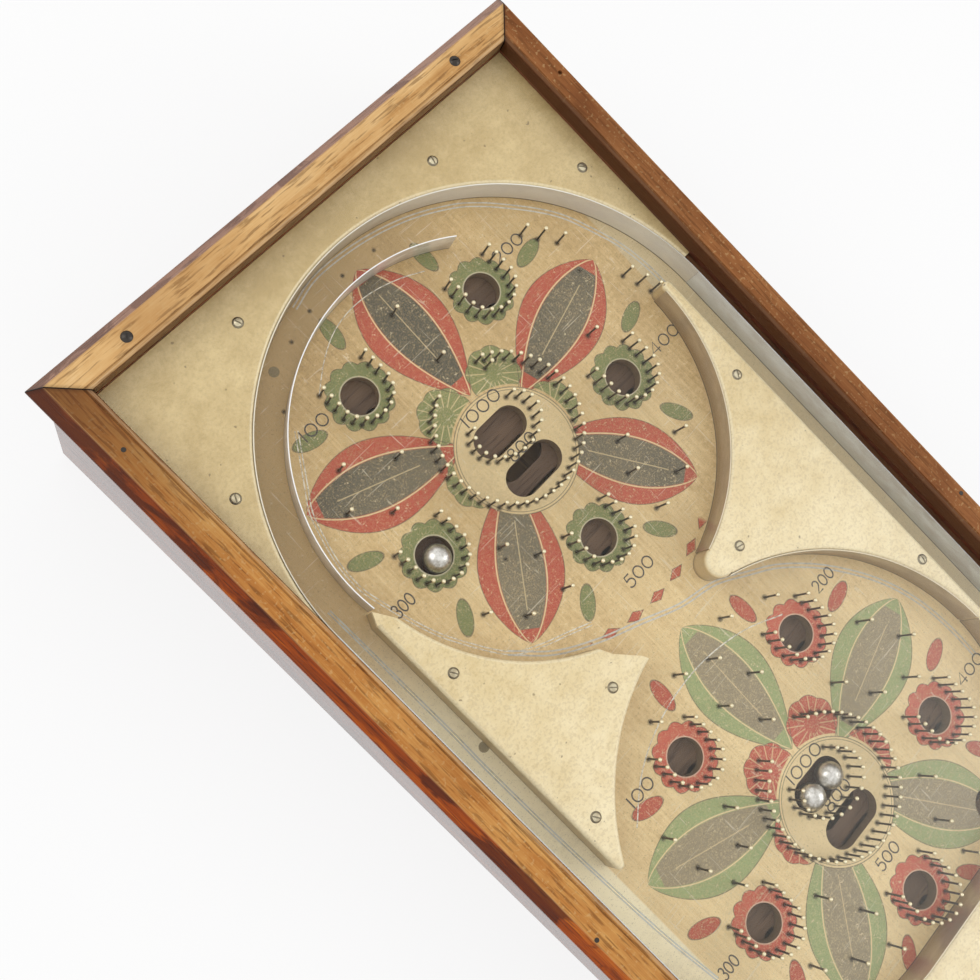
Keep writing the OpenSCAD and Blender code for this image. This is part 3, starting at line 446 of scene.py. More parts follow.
def field_material():
    """Varnished field: printed motifs, chips and grime, darker lanes, brown walls in its holes; painted
    light makes it lighter towards the front and in the shaded left lane.
    """
    s = Shade("printed_field")
    x, y, z = s.deck_xyz()
    wave = s.noise(s.stretched((42.0, 3.2, 42.0)), 5.0, 0.6, 0.3)
    fibre = s.noise(s.stretched((800.0, 22.0, 800.0)), 3.0, 0.55)
    cloud = s.even_noise(11.0, 5.0, 0.62)
    speck = s.even_noise(330.0, 3.0, 0.6)
    grit = s.even_noise(1000.0, 2.0, 0.6)
    hair = s.noise(s.stretched((26.0, 700.0, 300.0), (5.0, 3.0, 1.0)), 2.0, 0.5, 0.6)
    scuff = s.noise(s.stretched((500.0, 30.0, 300.0), (1.0, 8.0, 2.0)), 2.0, 0.5, 0.9)
    # Painted light: near lightens the field's ground towards the front, and with the patch noise it fades
    # the leaves' cores there.
    near = ((150.0 - y) / 460.0).held()
    patch = s.even_noise(14.0, 1.0, 0.4, offset=(6.0, 2.0, 0.0))
    fade_and_front_light = (patch + near * 0.5).above(0.75, 0.25)
    col = s.ramp(
        wave * 0.4 + fibre * 0.3 + cloud * 0.2 + speck * 0.45 + near * 0.3 - 0.22,
        [(0.3, srgb(178, 146, 92)), (0.48, srgb(202, 170, 114)), (0.85, srgb(244, 218, 162))],
    )
    rail_r, _ = polar(x, y, ARC_RAIL_AT)
    outside = rail_r.above(ARC_RAIL_R, 0.4) * y.above(-30.0, 40.0) * x.below(40.0, 50.0)
    col = s.mix(outside * 0.7, col, srgb(194, 164, 112))
    col = s.mix(x.above(LANE_EDGE, 0.5) * 0.6, col, srgb(214, 200, 162))
    # Painted light: the left lane, which lies in shade, is lightened to a pale cream.
    left_lane_painted_light = x.below(-LANE_EDGE, 0.5) * y.below(-60.0, 40.0)
    col = s.mix(left_lane_painted_light * 0.9, col, srgb(250, 238, 200))
    chip = (speck * 0.7 + grit * 0.4).above(0.7, 0.03)
    dirt = (cloud * 0.5 + speck * 0.3 + grit * 0.3).above(0.64, 0.08)
    ground = col
    line_col, pale = srgb(84, 72, 50), srgb(228, 204, 152)
    green, red = srgb(122, 128, 72), srgb(184, 78, 50)
    olive, coal = srgb(134, 138, 80), srgb(84, 78, 58)
    coral, brick, sage, dun = srgb(200, 88, 60), srgb(192, 82, 56), srgb(152, 164, 106), srgb(148, 134, 104)
    for centre, ring, rosette_tone, shell_tone, leaf_tone, core_tone, bud_tone in (
        (UPPER, UPPER_RING, green, olive, red, coal, green),
        (LOWER, LOWER_RING, coral, brick, sage, dun, red),
    ):
        p = circle_print(x, y, centre, ring)
        col = s.mix(p["leaf"], col, leaf_tone)
        col = s.mix(p["core"], col, s.mix(fade_and_front_light * 0.6, core_tone, srgb(150, 136, 104)))
        col = s.mix(p["vein"] * 0.6, col, pale)
        col = s.mix(p["gap"], col, pale)
        col = s.mix(p["bud"], col, bud_tone)
        col = s.mix(p["shell"], col, shell_tone)
        col = s.mix(p["ribs"] * 0.7, col, pale)
        col = s.mix(p["rosette"], col, rosette_tone)
        col = s.mix(p["disc"], col, s.mix(0.7, ground, pale))
        col = s.mix(p["line"].most(p["hair"]) * 0.8, col, line_col)
        # Painted highlight on each pocket's edge.
        col = s.mix(p["rim"] * 0.6, col, srgb(226, 212, 182))
    r, angle = polar(x, y, UPPER)
    turn_off = abs(fold(angle + LOZENGE_SHIFT, LOZENGE_STEP))
    lozenge = turn_off * r / LOZENGE_LONG + abs(r - LOZENGE_AT) / LOZENGE_WIDE
    window = abs(abs(angle) - math.pi).below(LOZENGE_SPAN, 0.01)
    col = s.mix(lozenge.below(1.0, 0.06) * window, col, red)
    col = s.mix(abs(lozenge - 1.0).below(0.09, 0.04) * window * 0.7, col, line_col)
    rubbed = (grit * 0.75 + speck * 0.25).above(0.56, 0.06) * 0.35
    col = s.mix(rubbed, col, ground)
    col = s.mix(chip * 0.6, col, srgb(240, 224, 184))
    col = s.mix(hair.above(0.69, 0.02).most(scuff.above(0.7, 0.02)) * 0.4, col, srgb(236, 224, 196))
    col = s.mix(dirt * 0.3, col, srgb(108, 90, 56))
    col = s.mix(grit.below(0.36, 0.03) * 0.35, col, srgb(104, 86, 54))
    wall = z.below(-0.12, 0.1)
    col = s.mix(wall, col, s.mix(fibre, srgb(96, 76, 54), srgb(150, 124, 90)))
    s.set(Base_Color=col, Roughness=0.38 + 0.25 * dirt + 0.2 * (speck - 0.5))
    s.set(Normal=s.bump(fibre * 0.4 + speck * 0.5 - chip * 0.4, 0.14, 0.0002))
    s.set(Coat_Weight=0.2, Coat_Roughness=0.25)
    return s.mat


def plate_material():
    """Cream lacquered plates: soft clouds, sanding lines, tiny brown specks, rubbed round edges lightened
    further as a painted highlight, walls darkened to tan as painted shade and darker again at the foot;
    lighter towards the front, which is painted light."""
    s = Shade("cream_lacquer")
    _, y, z = s.deck_xyz()
    cloud = s.even_noise(8.0, 5.0, 0.6)
    mottle = s.even_noise(60.0, 8.0, 0.75, offset=(2.0, 1.0, 5.0))
    hair = s.noise(s.stretched((60.0, 900.0, 900.0)), 2.0, 0.5)
    grit = s.even_noise(600.0, 2.0, 0.5)
    spot = s.even_noise(260.0, 1.0, 0.4)
    # Painted light: near lightens the plates towards the front.
    near = ((170.0 - y) / 370.0).held()
    col = s.ramp(
        near * 0.75 + cloud * 0.8 + mottle * 1.0 - 0.8,
        [(0.0, srgb(196, 170, 116)), (0.45, srgb(226, 203, 150)), (0.95, srgb(250, 234, 192))],
    )
    # Rubbed round edge, lightened further as a painted highlight.
    round_edge_wear_and_highlight = z.below(PLATE_TOP - 0.2, 0.15) * z.above(PLATE_TOP - 3.4, 1.0)
    col = s.mix(round_edge_wear_and_highlight * 0.65, col, srgb(250, 236, 196))
    # Painted shade: the walls below the rounded edge are darkened to tan.
    col = s.mix(z.below(PLATE_TOP - 3.8, 1.4) * 0.8, col, srgb(178, 152, 102))
    # Darker towards the foot of the walls, next to the field.
    col = s.mix(z.below(2.4, 1.6) * 0.6, col, srgb(104, 80, 50))
    col = s.mix(spot.above(0.78, 0.015) * 0.6, col, srgb(104, 76, 42))
    col = s.mix(hair.above(0.64, 0.05) * 0.08, col, srgb(176, 152, 100))
    col = s.mix(grit.above(0.56, 0.06) * 0.22, col, srgb(172, 146, 98))
    s.set(Base_Color=col, Roughness=0.4 + 0.3 * (mottle - 0.5))
    s.set(Normal=s.bump(mottle * 0.5 + hair * 0.3 + grit * 0.2, 0.16, 0.00025))
    s.set(Coat_Weight=0.2, Coat_Roughness=0.3)
    return s.mat


def metal(name, base, rough, along, tarnish, amount, shade_and_dirt_z=None):
    """Worn metal: fine drawn lines, cloudy tarnish; darker below a level of the deck, as in a slot:
    painted shade in the slot, and dirt round the head's foot.
    """
    s = Shade(name)
    fine = 1400.0
    lines = [fine] * 3
    lines[AXES[along]] = fine * 0.02
    drawn = s.noise(s.stretched(tuple(lines)), 2.0, 0.5)
    cloud = s.even_noise(150.0, 5.0, 0.65)
    col = s.mix(cloud.above(0.52, 0.14) * amount, base, tarnish)
    if shade_and_dirt_z is not None:
        _, _, z = s.deck_xyz()
        # Painted shade in the slot and dirt round the head's foot: darker below the level.
        col = s.mix(z.below(shade_and_dirt_z, 0.06) * 0.7, col, srgb(62, 50, 32))
    s.set(Base_Color=col, Metallic=1.0 - cloud.above(0.6, 0.1) * amount)
    s.set(Roughness=rough + 0.22 * (drawn - 0.5) + 0.2 * cloud.above(0.55, 0.1) * amount)
    s.set(Normal=s.bump(drawn, 0.12, 0.0001))
    return s.mat


def ribbon_material(name, face, low_face, edge, metallic, rough, bright=0.0):
    """Steel ribbon: rolled lengthwise lines, brown bloom, darker low half, dark foot, a top edge in a
    lighter colour as a painted highlight; bright paints a silvery reflection on it towards the right."""
    s = Shade(name)
    x, y, z = s.deck_xyz()
    lines = s.noise(s.stretched((30.0, 30.0, 2600.0)), 2.0, 0.5)
    cloud = s.noise(s.stretched((50.0, 50.0, 90.0)), 5.0, 0.65)
    col = s.mix(z.below(9.0, 5.0), face, low_face)
    col = s.mix(cloud.above(0.52, 0.1) * 0.45, col, srgb(150, 124, 84))
    col = s.mix(z.below(0.9, 0.5) * 0.8, col, srgb(40, 32, 24))
    # Painted highlight: the top edge gets a light colour and less metal.
    edge_highlight = z.above(PLATE_TOP - 0.8, 0.15)
    col = s.mix(edge_highlight, col, edge)
    # Painted reflection: towards the right the face is whitened and made less metallic, a silvery sheen.
    painted_sheen = ((x + y * 0.35 - 20.0) / 110.0).held() * bright
    col = s.mix(painted_sheen * z.above(1.0, 0.4) * 0.6, col, srgb(240, 242, 240))
    bare = (1.0 - 0.5 * cloud.above(0.58, 0.08)) * (1.0 - 0.5 * painted_sheen) * (1.0 - 0.7 * edge_highlight)
    s.set(Base_Color=col, Metallic=metallic * bare)
    s.set(Roughness=rough + 0.2 * (lines - 0.5) + 0.1 * cloud)
    s.set(Normal=s.bump(lines, 0.15, 0.0001))
    return s.mat


def pin_material():
    """Pins: dull dark shank, bright rubbed head."""
    s = Shade("pin_wire")
    _, _, z = s.deck_xyz()
    cloud = s.even_noise(500.0, 3.0, 0.6)
    head = z.above(PIN_HEAD, 0.3)
    col = s.mix(head, s.mix(cloud, srgb(44, 38, 28), srgb(96, 84, 60)), srgb(246, 236, 200))
    s.set(Base_Color=col, Metallic=0.55 + 0.3 * head, Roughness=0.42 - 0.12 * head + 0.1 * cloud)
    return s.mat


def ball_material():
    """Used steel balls: cloudy grey skin, small nicks."""
    s = Shade("ball_steel")
    cloud = s.even_noise(240.0, 5.0, 0.66)
    nick = s.even_noise(1100.0, 2.0, 0.6)
    col = s.mix(cloud.above(0.52, 0.12) * 0.8, srgb(232, 230, 224), srgb(156, 150, 138))
    col = s.mix(nick.above(0.66, 0.03) * 0.6, col, srgb(236, 236, 232))
    s.set(Base_Color=col, Metallic=1.0, Roughness=0.26 + 0.16 * cloud.above(0.5, 0.2))
    s.set(Normal=s.bump(nick, 0.12, 0.0001))
    return s.mat


def glass_material():
    """Clear pane, a little dusty: mirror share 0.035 + 0.965 (1 - cos)^5 on both faces alike, raised
    towards the right front by a gradient that is partly dust and partly a painted reflection."""
    s = Shade("window_glass")
    x, y, _ = s.deck_xyz()
    facing = s.node("ShaderNodeLayerWeight", None, {"Blend": 0.5}, output="Facing")
    share = 0.035 + 0.965 * facing**5.0
    smear = s.noise(s.stretched((22.0, 12.0, 22.0)), 4.0, 0.6)
    # Partly dust, partly painted reflection: the mirror share grows towards the right front.
    dust_and_reflection = ((x * 0.9 - y + 60.0) / 520.0).held()
    haze = 0.25 + 1.1 * dust_and_reflection * dust_and_reflection + 0.4 * smear * dust_and_reflection
    s.set(Base_Color=srgb(250, 250, 244), Metallic=1.0)
    s.set(Roughness=0.03 + 0.05 * smear, Alpha=(share * haze + 0.002).least(0.9))
    return s.mat


def plastic(name, base, rough):
    """Black knobs and rubber: cloudy handling marks and small nicks."""
    s = Shade(name)
    cloud = s.even_noise(90.0, 4.0, 0.6)
    nick = s.even_noise(700.0, 2.0, 0.6)
    s.set(Base_Color=s.mix(cloud * 0.5, base, srgb(58, 52, 48)))
    s.set(Roughness=rough + 0.2 * (cloud - 0.5) + 0.25 * nick.above(0.64, 0.04))
    s.set(Normal=s.bump(nick, 0.1, 0.0001))
    return s.mat


def case_material(name, along):
    """Dark varnished oak of the case, with a clear coat and lighter streaks towards the bottom."""
    s, col, wave, fibre = wood(
        name,
        along,
        [
            (0.28, srgb(66, 29, 16)),
            (0.45, srgb(102, 48, 25)),
            (0.6, srgb(130, 68, 38)),
            (0.75, srgb(152, 88, 50)),
        ],
        srgb(34, 15, 8),
        rough=0.36,
        coat=0.6,
    )
    _, _, z = s.deck_xyz()
    # Lighter streaks in the grain towards the bottom.
    rub = z.below(-36.0, 30.0) * (wave + fibre * 0.5).above(0.86, 0.08)
    s.set(Base_Color=s.mix(rub * 0.45, col, srgb(158, 104, 62)))
    return s.mat


side_wood = case_material("case_oak_long", "y")
cross_wood = case_material("case_oak_cross", "x")
plain, *_ = wood(
    "plain_pine",
    "y",
    [(0.3, srgb(120, 86, 50)), (0.5, srgb(160, 122, 76)), (0.7, srgb(186, 150, 100))],
    srgb(92, 62, 34),
    rough=0.6,
)
under, *_ = wood(
    "stained_ply",
    "x",
    [(0.3, srgb(92, 70, 50)), (0.5, srgb(112, 86, 62)), (0.7, srgb(132, 104, 76))],
    srgb(70, 50, 34),
    rough=0.55,
)
filler_wood, *_ = wood(
    "dark_strip",
    "y",
    [(0.3, srgb(78, 48, 26)), (0.5, srgb(112, 74, 44)), (0.7, srgb(140, 100, 64))],
    srgb(50, 28, 14),
    rough=0.42,
)
steel = metal("aged_steel", srgb(176, 172, 162), 0.36, "z", tarnish=srgb(112, 92, 64), amount=0.45)
black_screw = metal("blackened_screw", srgb(74, 70, 66), 0.34, "x", tarnish=srgb(40, 34, 30), amount=0.5)
plate_screw = metal(
    "dull_screw", srgb(216, 206, 176), 0.4, "x", tarnish=srgb(140, 116, 76), amount=0.5, shade_and_dirt_z=SLOT_FOOT
)
plated = metal("nickel_plate", srgb(200, 198, 190), 0.24, "x", tarnish=srgb(140, 122, 92), amount=0.3)
brass = metal("aged_brass", srgb(196, 166, 104), 0.3, "x", tarnish=srgb(104, 78, 44), amount=0.45)
# The three rails are one oak: the left rail's dark red-brown bevel is painted shade, and the pale mauve
# bevel of the back and front rails is painted light.
left_oak = frame_rail(
    "frame_oak_left",
    "y",
    [srgb(140, 80, 34), srgb(184, 122, 60), srgb(210, 156, 88), srgb(234, 192, 130)],
    [srgb(66, 22, 4), srgb(156, 68, 10), srgb(208, 118, 34)],
    inside=0.25,
    corner=0.85,
)
right_oak = frame_rail(
    "frame_oak_right",
    "y",
    [srgb(96, 54, 26), srgb(134, 82, 44), srgb(158, 104, 60), srgb(182, 132, 86)],
    [srgb(84, 40, 22), srgb(120, 66, 38), srgb(150, 94, 60)],
    inside=0.9,
)
cross_oak = frame_rail(
    "frame_oak_cross",
    "x",
    [srgb(152, 102, 54), srgb(200, 152, 94), srgb(222, 180, 122), srgb(242, 208, 156)],
    [srgb(108, 72, 54), srgb(142, 102, 82), srgb(168, 128, 106)],
    inside=0.3,
)
guide = ribbon_material(
    "guide_ribbon",
    face=srgb(200, 186, 160), low_face=srgb(168, 148, 112), edge=srgb(226, 214, 186),
    metallic=0.75, rough=0.3,
)
arch_steel = ribbon_material(
    "arch_ribbon_steel",
    face=srgb(216, 206, 184), low_face=srgb(196, 178, 142), edge=srgb(240, 232, 210),
    metallic=0.75, rough=0.3, bright=1.0,
)
# The lane strips' near-white face with little metal is a painted sheen: the white room's reflection put
# into the colour.
lane_steel = ribbon_material(
    "lane_steel",
    face=srgb(232, 236, 234), low_face=srgb(188, 190, 182), edge=srgb(250, 252, 250),
    metallic=0.25, rough=0.28, bright=0.8,
)
rail_steel = ribbon_material(
    "rail_steel",
    face=srgb(248, 243, 232), low_face=srgb(216, 208, 192), edge=srgb(254, 254, 252),
    metallic=0.4, rough=0.3,
)

paint(side_wood, "side_left", "side_right")
paint(cross_wood, "back_board", "front_board", "cash_door")
paint(plain.mat, "bottom_board", "cleats", "return_board", "trough_rail", "cash_walls")
paint(under.mat, "shutter_board")
paint(filler_wood.mat, "lane_fillers")
paint(left_oak, "rail_left")
paint(right_oak, "rail_right")
paint(cross_oak, "rail_back", "rail_front")
paint(field_material(), "field_upper", "field_lower")
paint(plate_material(), "arch_plate", "island_left", "island_right", "lower_plate")
paint(guide, "ribbon_upper", "ribbon_lower", "ribbon_front")
paint(arch_steel, "arch_ribbon")
paint(lane_steel, "lane_strips")
paint(rail_steel, "arc_rail")
paint(ball_material(), "balls_in_play", "balls_waiting", "ball_on_lift")
paint(pin_material(), "pins_upper", "pins_lower")
paint(black_screw, "case_screws", "frame_nails")
paint(plate_screw, "plate_screws")
paint(steel, "spring_post", "shutter_spring", "plunger_spring", "lift_pin", "shutter_studs")
paint(
    plated,
    "coin_slide", "slide_rivets", "coin_housing", "coin_chute", "spring_anchor", "lock_cam",
    "plunger_housing", "plunger_rod", "lift_lever", "lift_bracket", "lift_plate",
)
paint(brass, "hinge_fixed", "hinge_moving", "lock_barrel")
paint(plastic("black_knob", srgb(24, 22, 22), rough=0.22), "plunger_knob", "lift_knob")
paint(plastic("black_rubber", srgb(30, 29, 28), rough=0.7), "plunger_tip")
paint(glass_material(), "glass_pane")


def mesh_piece(name, verts, faces, mat):
    """A piece from an array of vertices and a list of faces, its place kept in its mesh."""
    mesh = bpy.data.meshes.new(name)
    mesh.from_pydata(verts.tolist(), [], faces)
    mesh.update()
    obj = bpy.data.objects.new(name, mesh)
    bpy.context.scene.collection.objects.link(obj)
    mesh.materials.append(mat)
    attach(obj, "case")
    return obj


def arc(cx, cy, rx, ry, a0, a1, n):
    """Points of an elliptic arc: centre plus radii times cosine and sine of n evenly spaced angles."""
    t = np.radians(np.linspace(a0, a1, n))
    return np.column_stack([cx + rx * np.cos(t), cy + ry * np.sin(t)])


def run(*points):
    """Points of a path of straight lines."""
    return np.array(points, float)


# Each digit's width and the paths of its pen, for a height of 1
DIGITS = {
    "0": (0.80, [arc(0.38, 0.5, 0.38, 0.46, 90, 450, 40)]),
    "1": (0.26, [run((0.13, 0.0), (0.13, 1.0))]),
    "2": (0.72, [np.vstack([arc(0.34, 0.68, 0.32, 0.30, 165, -38, 20), run((0.03, 0.0), (0.70, 0.0))])]),
    "3": (
        0.70,
        [np.vstack([arc(0.32, 0.75, 0.28, 0.24, 155, -90, 18), arc(0.32, 0.26, 0.34, 0.26, 90, -155, 22)])],
    ),
    "4": (0.78, [run((0.56, 0.0), (0.56, 1.0), (0.0, 0.30), (0.76, 0.30))]),
    "5": (
        0.70,
        [
            np.vstack(
                [run((0.62, 0.98), (0.16, 0.98), (0.10, 0.56)), arc(0.33, 0.32, 0.33, 0.32, 125, -150, 22)]
            )
        ],
    ),
    "8": (0.74, [arc(0.36, 0.75, 0.27, 0.23, 90, 450, 32), arc(0.36, 0.26, 0.34, 0.27, 90, 450, 36)]),
}


def stroke(path, width, lift):
    """Flat ribbon along a path, at a height over the field: each point moved half the width both
    ways along the mean normal."""
    d = np.gradient(path, axis=0)
    closed = np.allclose(path[0], path[-1])
    if closed:
        d[0] = d[-1] = path[1] - path[-2]
    d /= np.linalg.norm(d, axis=1)[:, None]
    n = np.column_stack([-d[:, 1], d[:, 0]]) * (width / 2.0)
    sides = np.vstack([path + n, path - n])
    k = len(path)
    i = np.arange(k - 1)
    verts = np.column_stack([sides, np.full(2 * k, lift)])
    return verts, np.column_stack([i + k, i + k + 1, i + 1, i])


def joined(parts):
    """Vertices and faces of several meshes in one, each mesh's faces counted on from the last."""
    verts = [v for v, _ in parts]
    starts = np.cumsum([0] + [len(v) for v in verts])
    return np.vstack(verts), np.vstack([f + start for (_, f), start in zip(parts, starts)])


def figures(text, x0, x1, y):
    """Vertices and faces of a number between x0 and x1, its foot at y, laid on the field."""
    gap, height, pen, lift = 0.2, 8.6, 1.0, 0.06
    total = sum(DIGITS[c][0] for c in text) + gap * (len(text) - 1)
    scale = (x1 - x0) / total
    strips, at = [], 0.0
    for c in text:
        width, paths = DIGITS[c]
        for path in paths:
            p = np.column_stack([x0 + (path[:, 0] + at) * scale, y + path[:, 1] * height])
            strips.append(stroke(p, pen, lift))
        at += width + gap
    return joined(strips)


# Pocket values: text, left and right end, and foot of the number
NUMBERS = [
    ("100", -100, -78, 80), ("200", 80, 106, 80), ("400", 117, 144, -38), ("300", -136, -120, -38),
    ("500", -13, 12, -133), ("1000", -17, 16, 16), ("800", -10, 13, -20.5),
    ("100", -115, -93, -229), ("200", 82, 101, -231), ("400", 112, 139, -352), ("300", -150, -135, -345),
    ("500", -25, -4, -385), ("1000", -28, 5, -301), ("800", -22, 2, -332),
]

ink = Shade("dark_ink")
rubbed = ink.even_noise(260.0, 3.0, 0.6)
ink.set(Base_Color=ink.mix(rubbed.above(0.56, 0.08) * 0.5, srgb(70, 62, 54), srgb(130, 112, 84)))
ink.set(Roughness=0.42 + 0.2 * rubbed, Coat_Weight=0.2, Coat_Roughness=0.2)
verts, faces = joined([figures(*number) for number in NUMBERS])
mesh_piece("printed_numbers", deck(verts), faces.tolist(), ink.mat)


def curve_through(points, per=14):
    """Smooth path through points: each span is the cubic that meets its ends with half the
    neighbours' difference as slope (Catmull-Rom), taken at even parameters."""
    p = np.asarray(points, float)
    p = np.vstack([2 * p[0] - p[1], p, 2 * p[-1] - p[-2]])
    t = np.linspace(0.0, 1.0, per, endpoint=False)[None, :, None]
    a, b, c, d = (p[i : len(p) - 3 + i, None, :] for i in range(4))
    q = 0.5 * (2 * b + (c - a) * t + (2 * a - 5 * b + 4 * c - d) * t**2 + (3 * b - a - 3 * c + d) * t**3)
    return np.vstack([q.reshape(-1, 2), p[-2:-1]])


def worn_line(name, points, offsets, width, lift, mat):
    """Flat strips beside a smooth path, each moved sideways along the path's normal by its offset."""
    path = curve_through(points)
    d = np.gradient(path, axis=0)
    d /= np.linalg.norm(d, axis=1)[:, None]
    side = np.column_stack([-d[:, 1], d[:, 0]])
    verts, faces = joined([stroke(path + side * off, width, lift) for off in offsets])
    mesh_piece(name, deck(verts), faces.tolist(), mat)


def rubbed_metal(name, base, low, high, scale):
    """Metal or chalk rubbed into the varnish, its cover between low and high broken by noise."""
    s = Shade(name)
    worn = s.even_noise(scale, 4.0, 0.7)
    s.set(Base_Color=base, Roughness=0.5)
    s.set(Alpha=low + (high - low) * worn.above(0.47, 0.07))
    return s.mat


silver = rubbed_metal("silver_rub", srgb(206, 202, 190), low=0.72, high=1.0, scale=300.0)
chalk = rubbed_metal("chalk_rub", srgb(232, 226, 208), low=0.25, high=0.95, scale=420.0)
ash = rubbed_metal("ash_rub", srgb(206, 208, 200), low=0.4, high=0.9, scale=60.0)
# Worn ball tracks: points, sideways offsets of the strips, their width, their height, and finish
TRACKS = {
    "track_arch": (
        [
            (-44, 147.5), (-18, 153.7), (20, 151.5), (55, 143), (83.7, 129.9), (99.9, 118.4),
            (114.8, 104.2), (129.6, 88), (140.4, 72.5), (149.9, 50.9), (156.6, 32), (160, 11.7),
            (160.7, -9.9), (161, -70),
        ],
        (-1.3, 1.3), 1.0, 0.05, silver,
    ),
    "track_left": (
        [
            (-99, 90), (-117, 64), (-128, 48), (-134, 32), (-139, 12), (-140, -6), (-138, -19),
            (-130, -49), (-121, -71), (-102, -102), (-84, -114), (-65, -122), (-49, -129),
        ],
        (-1.0, 1.0), 0.8, 0.05, chalk,
    ),
    "track_cross": (
        [
            (-102, -102), (-80, -124), (-53, -140), (-25, -152), (3.5, -164.5), (32, -172), (55, -185),
            (74, -197), (93, -215), (107.5, -233.5), (120, -254), (129, -275), (134.5, -298),
            (136.5, -323), (136, -345),
        ],
        (-1.3, 1.3), 1.1, 0.06, silver,
    ),
    "track_top": (
        [
            (-72, 97), (-55, 110), (-37, 119.5), (-18, 123.5), (2, 122.5), (22, 117), (38, 110),
        ],
        (0.0,), 0.7, 0.05, chalk,
    ),
    "track_lane": (
        [
            (-163.8, -4), (-163.3, -39), (-163.1, -74), (-162.6, -109), (-162.9, -144), (-161.7, -208),
            (-158, -290), (-153, -340),
        ],
        (-0.8, 0.9), 1.0, 0.05, ash,
    ),
    "track_low": (
        [
            (-122, -238), (-97, -219), (-70, -207), (-40, -201), (-8, -201), (24, -208), (52, -221),
        ],
        (0.0,), 0.9, 0.05, chalk,
    ),
}
for name, (points, offsets, width, lift, rub) in TRACKS.items():
    worn_line(name, points, offsets, width, lift, rub)


def pin_feet(node):
    """Places of a node's pins in deck millimetres: the lowest vertices of the shanks, grouped by
    rounding to a grid and averaged; of means closer than a pin's width the first one stays."""
    mesh = nodes[node].data
    co = np.empty(len(mesh.vertices) * 3)
    mesh.vertices.foreach_get("co", co)
    co = co.reshape(-1, 3) * 1000.0
    c, s = math.cos(SLOPE), math.sin(SLOPE)
    y = co[:, 1] * c + (co[:, 2] - HEIGHT) * s + MID_Y
    z = -co[:, 1] * s + (co[:, 2] - HEIGHT) * c
    low = z < z.min() + 0.2
    xy = np.column_stack([co[low, 0], y[low]])
    grid, apart = 3.2, 2.4
    key = np.round(xy / grid).astype(int)
    _, group = np.unique(key, axis=0, return_inverse=True)
    group = group.ravel()
    count = np.bincount(group)
    mid = np.column_stack([np.bincount(group, xy[:, i]) / count for i in range(2)])
    near = np.linalg.norm(mid[:, None] - mid[None], axis=2) < apart
    return mid[near.argmax(axis=1) == np.arange(len(mid))]


def stains(name, places, radius, mat):
    """Round stains: a fan of twelve faces round each place, with a fade of 1 in the middle and 0
    at the rim."""
    n = 12
    a = np.linspace(0.0, 2.0 * math.pi, n, endpoint=False)
    rim = np.column_stack([np.cos(a), np.sin(a)]) * radius
    ring = places[:, None, :] + rim[None]
    pts = np.concatenate([places[:, None, :], ring], axis=1).reshape(-1, 2)
    base = np.arange(len(places))[:, None, None] * (n + 1)
    k = np.arange(n)
    fan = np.column_stack([np.zeros(n, int), 1 + k, 1 + (k + 1) % n])[None]
    faces = (base + fan).reshape(-1, 3).tolist()
    verts = deck(np.column_stack([pts, np.full(len(pts), 0.03)]))
    obj = mesh_piece(name, verts, faces, mat)
    fade = obj.data.attributes.new("fade", "FLOAT", "POINT")
    value = np.zeros(len(pts), np.float32)
    value[:: n + 1] = 1.0
    fade.data.foreach_set("value", value)


grime = Shade("pin_grime")
soft = grime.node("ShaderNodeAttribute", {"attribute_name": "fade"}, output="Fac")
blur = grime.even_noise(420.0, 3.0, 0.6)
grime.set(Base_Color=srgb(52, 42, 28), Roughness=0.6)
grime.set(Alpha=(soft * (0.4 + 0.9 * blur)).least(0.75))
feet = np.vstack([pin_feet("pins_upper"), pin_feet("pins_lower")])
stains("pin_stains", feet, radius=2.6, mat=grime.mat)
plug = Shade("plugged_hole")
disc = plug.node("ShaderNodeAttribute", {"attribute_name": "fade"}, output="Fac")
plug.set(Base_Color=srgb(158, 145, 112), Roughness=0.5, Alpha=(disc * 7.0).least(0.7))
stains("plugged_marks", run((-82.7, 126.4), (-154.6, -130.9)), radius=3.7, mat=plug.mat)
nails = run((-38, 140), (-5.5, 143), (22.5, 142), (-61, 133), (-96, 104), (120, 40), (-60, -60))
stains("nail_dots", nails, radius=2.0, mat=grime.mat)


def coil_spring(name, start, end, radius, wire, turns, mat):
    """Spring round the plunger's line, along the deck's Y: a tube of half the wire's thickness about
    the helix (radius cos a, start + rise a, radius sin a). Wide enough for the collar to pass."""
    n, k = turns * 24, 8
    a = np.linspace(0.0, 2.0 * math.pi * turns, n + 1)[:, None]
    b = np.linspace(0.0, 2.0 * math.pi, k, endpoint=False)[None]
    out = radius + wire / 2.0 * np.cos(b)
    y = start + wire / 2.0 + (end - start - wire) * a / a.max() + wire / 2.0 * np.sin(b)
    pts = np.stack([LANE_X + out * np.cos(a), y, LANE_Z + out * np.sin(a)], axis=2).reshape(-1, 3)
    i, j = (g.ravel() for g in np.meshgrid(np.arange(n), np.arange(k), indexing="ij"))
    j1 = (j + 1) % k
    quads = np.column_stack([i * k + j, i * k + j1, (i + 1) * k + j1, (i + 1) * k + j]).tolist()
    ends = [list(range(k - 1, -1, -1)), list(range(n * k, (n + 1) * k))]
    return mesh_piece(name, deck(pts), quads + ends, mat)


plunger_coil = coil_spring(
    "plunger_coil", FRONT_WALL + 2.2, COLLAR - 0.3, radius=6.6, wire=1.2, turns=10, mat=steel
)
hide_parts("plunger_spring")


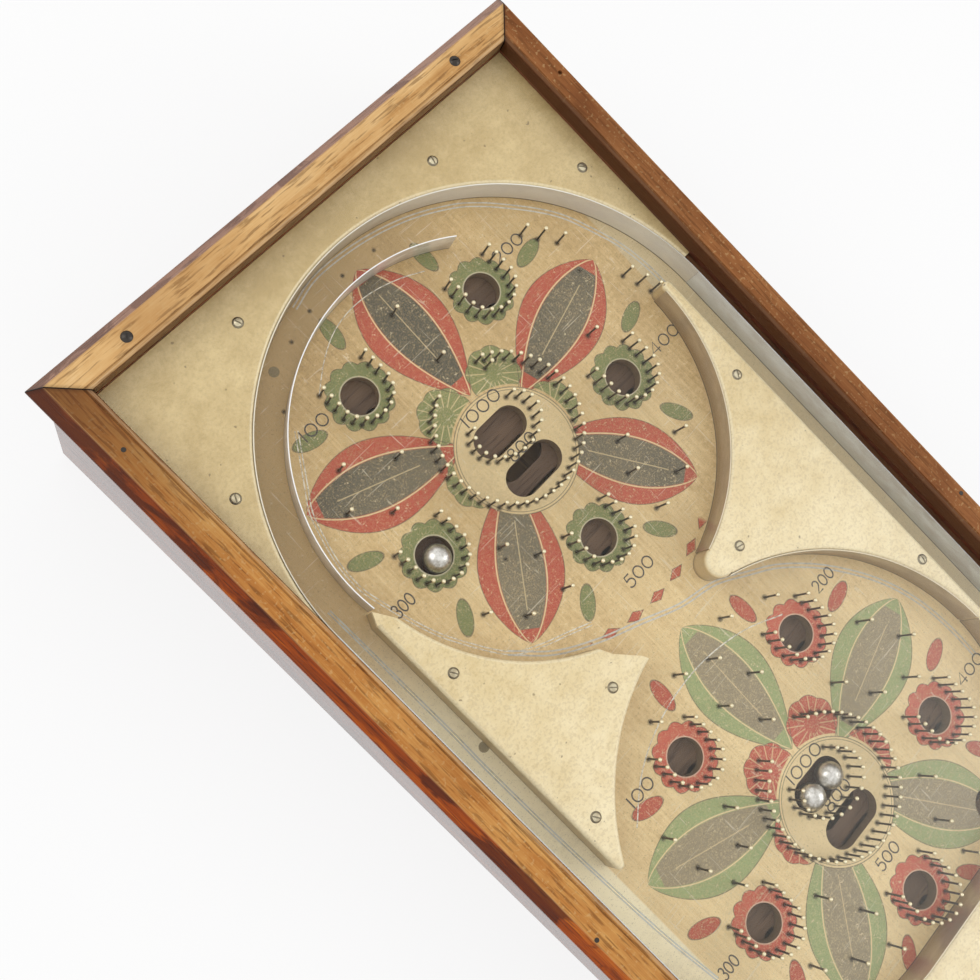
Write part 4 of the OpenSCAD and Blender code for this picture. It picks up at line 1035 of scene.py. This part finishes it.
def floor_and_light():
    """White surroundings, a pale floor, and two soft lamps: from the back left and the front right."""
    world = bpy.data.worlds.new("white_room")
    bpy.context.scene.world = world
    world.use_nodes = True
    sky = NodeTree(world.node_tree)
    white, soft_light, full = (1.0, 1.0, 1.0, 1.0), 0.84, 1.0
    level = soft_light + (full - soft_light) * sky.seen_directly()
    back = sky.node("ShaderNodeBackground", None, {"Color": white, "Strength": level})
    sky.feed(sky.tree.nodes.new("ShaderNodeOutputWorld").inputs["Surface"], back)

    mesh = bpy.data.meshes.new("floor")
    half, low = 20.0, -0.0005
    corners = [(-half, -half, low), (half, -half, low), (half, half, low), (-half, half, low)]
    mesh.from_pydata(corners, [], [(0, 1, 2, 3)])
    floor = bpy.data.objects.new("floor", mesh)
    bpy.context.scene.collection.objects.link(floor)
    s = Shade("floor_pale")
    s.set(Base_Color=(0.9, 0.9, 0.9, 1.0), Roughness=0.8)
    glow = s.node("ShaderNodeEmission", None, {"Color": white})
    lifted = s.node(
        "ShaderNodeMixShader", None, {0: s.seen_directly() * 0.8, 1: Value(s, s.bsdf.outputs[0]), 2: glow}
    )
    s.feed(s.out.inputs["Surface"], lifted)
    mesh.materials.append(s.mat)

    for name, power, size, place in (
        ("lamp_back", 9.0, 1.3, (-1.0, 1.5, 1.6)),
        ("lamp_front", 9.0, 1.2, (1.25, -1.5, 1.25)),
    ):
        lamp = bpy.data.lights.new(name, "AREA")
        lamp.shape = "SQUARE"
        lamp.size = size
        lamp.energy = power
        lit = bpy.data.objects.new(name, lamp)
        bpy.context.scene.collection.objects.link(lit)
        lit.location = place
        aim = Vector((0.0, 0.0, 0.1)) - Vector(place)
        lit.rotation_euler = aim.to_track_quat("-Z", "Y").to_euler()


def photo_camera():
    """The photograph's viewpoint, given in the deck's axes and carried into the part's frame."""
    place = deck([(-285.3, 22.97, 763.0)])[0]
    right = Vector((0.66841, -0.69690, 0.25991))
    down = Vector((-0.67561, -0.71502, -0.17974))
    ahead = Vector((0.31110, -0.05546, -0.94876))
    turn = Matrix.Rotation(SLOPE, 3, "X")
    axes = Matrix([turn @ right, turn @ -down, turn @ -ahead]).transposed()
    cam = bpy.data.cameras.new("camera")
    cam.sensor_fit = "HORIZONTAL"
    cam.sensor_width = 36.0
    cam.lens = 45.94
    cam.clip_end = 50.0
    obj = bpy.data.objects.new("camera", cam)
    bpy.context.scene.collection.objects.link(obj)
    obj.matrix_world = Matrix.Translation(Vector(place)) @ axes.to_4x4()
    bpy.context.scene.camera = obj


floor_and_light()
photo_camera()
bpy.context.scene.view_settings.view_transform = "Standard"
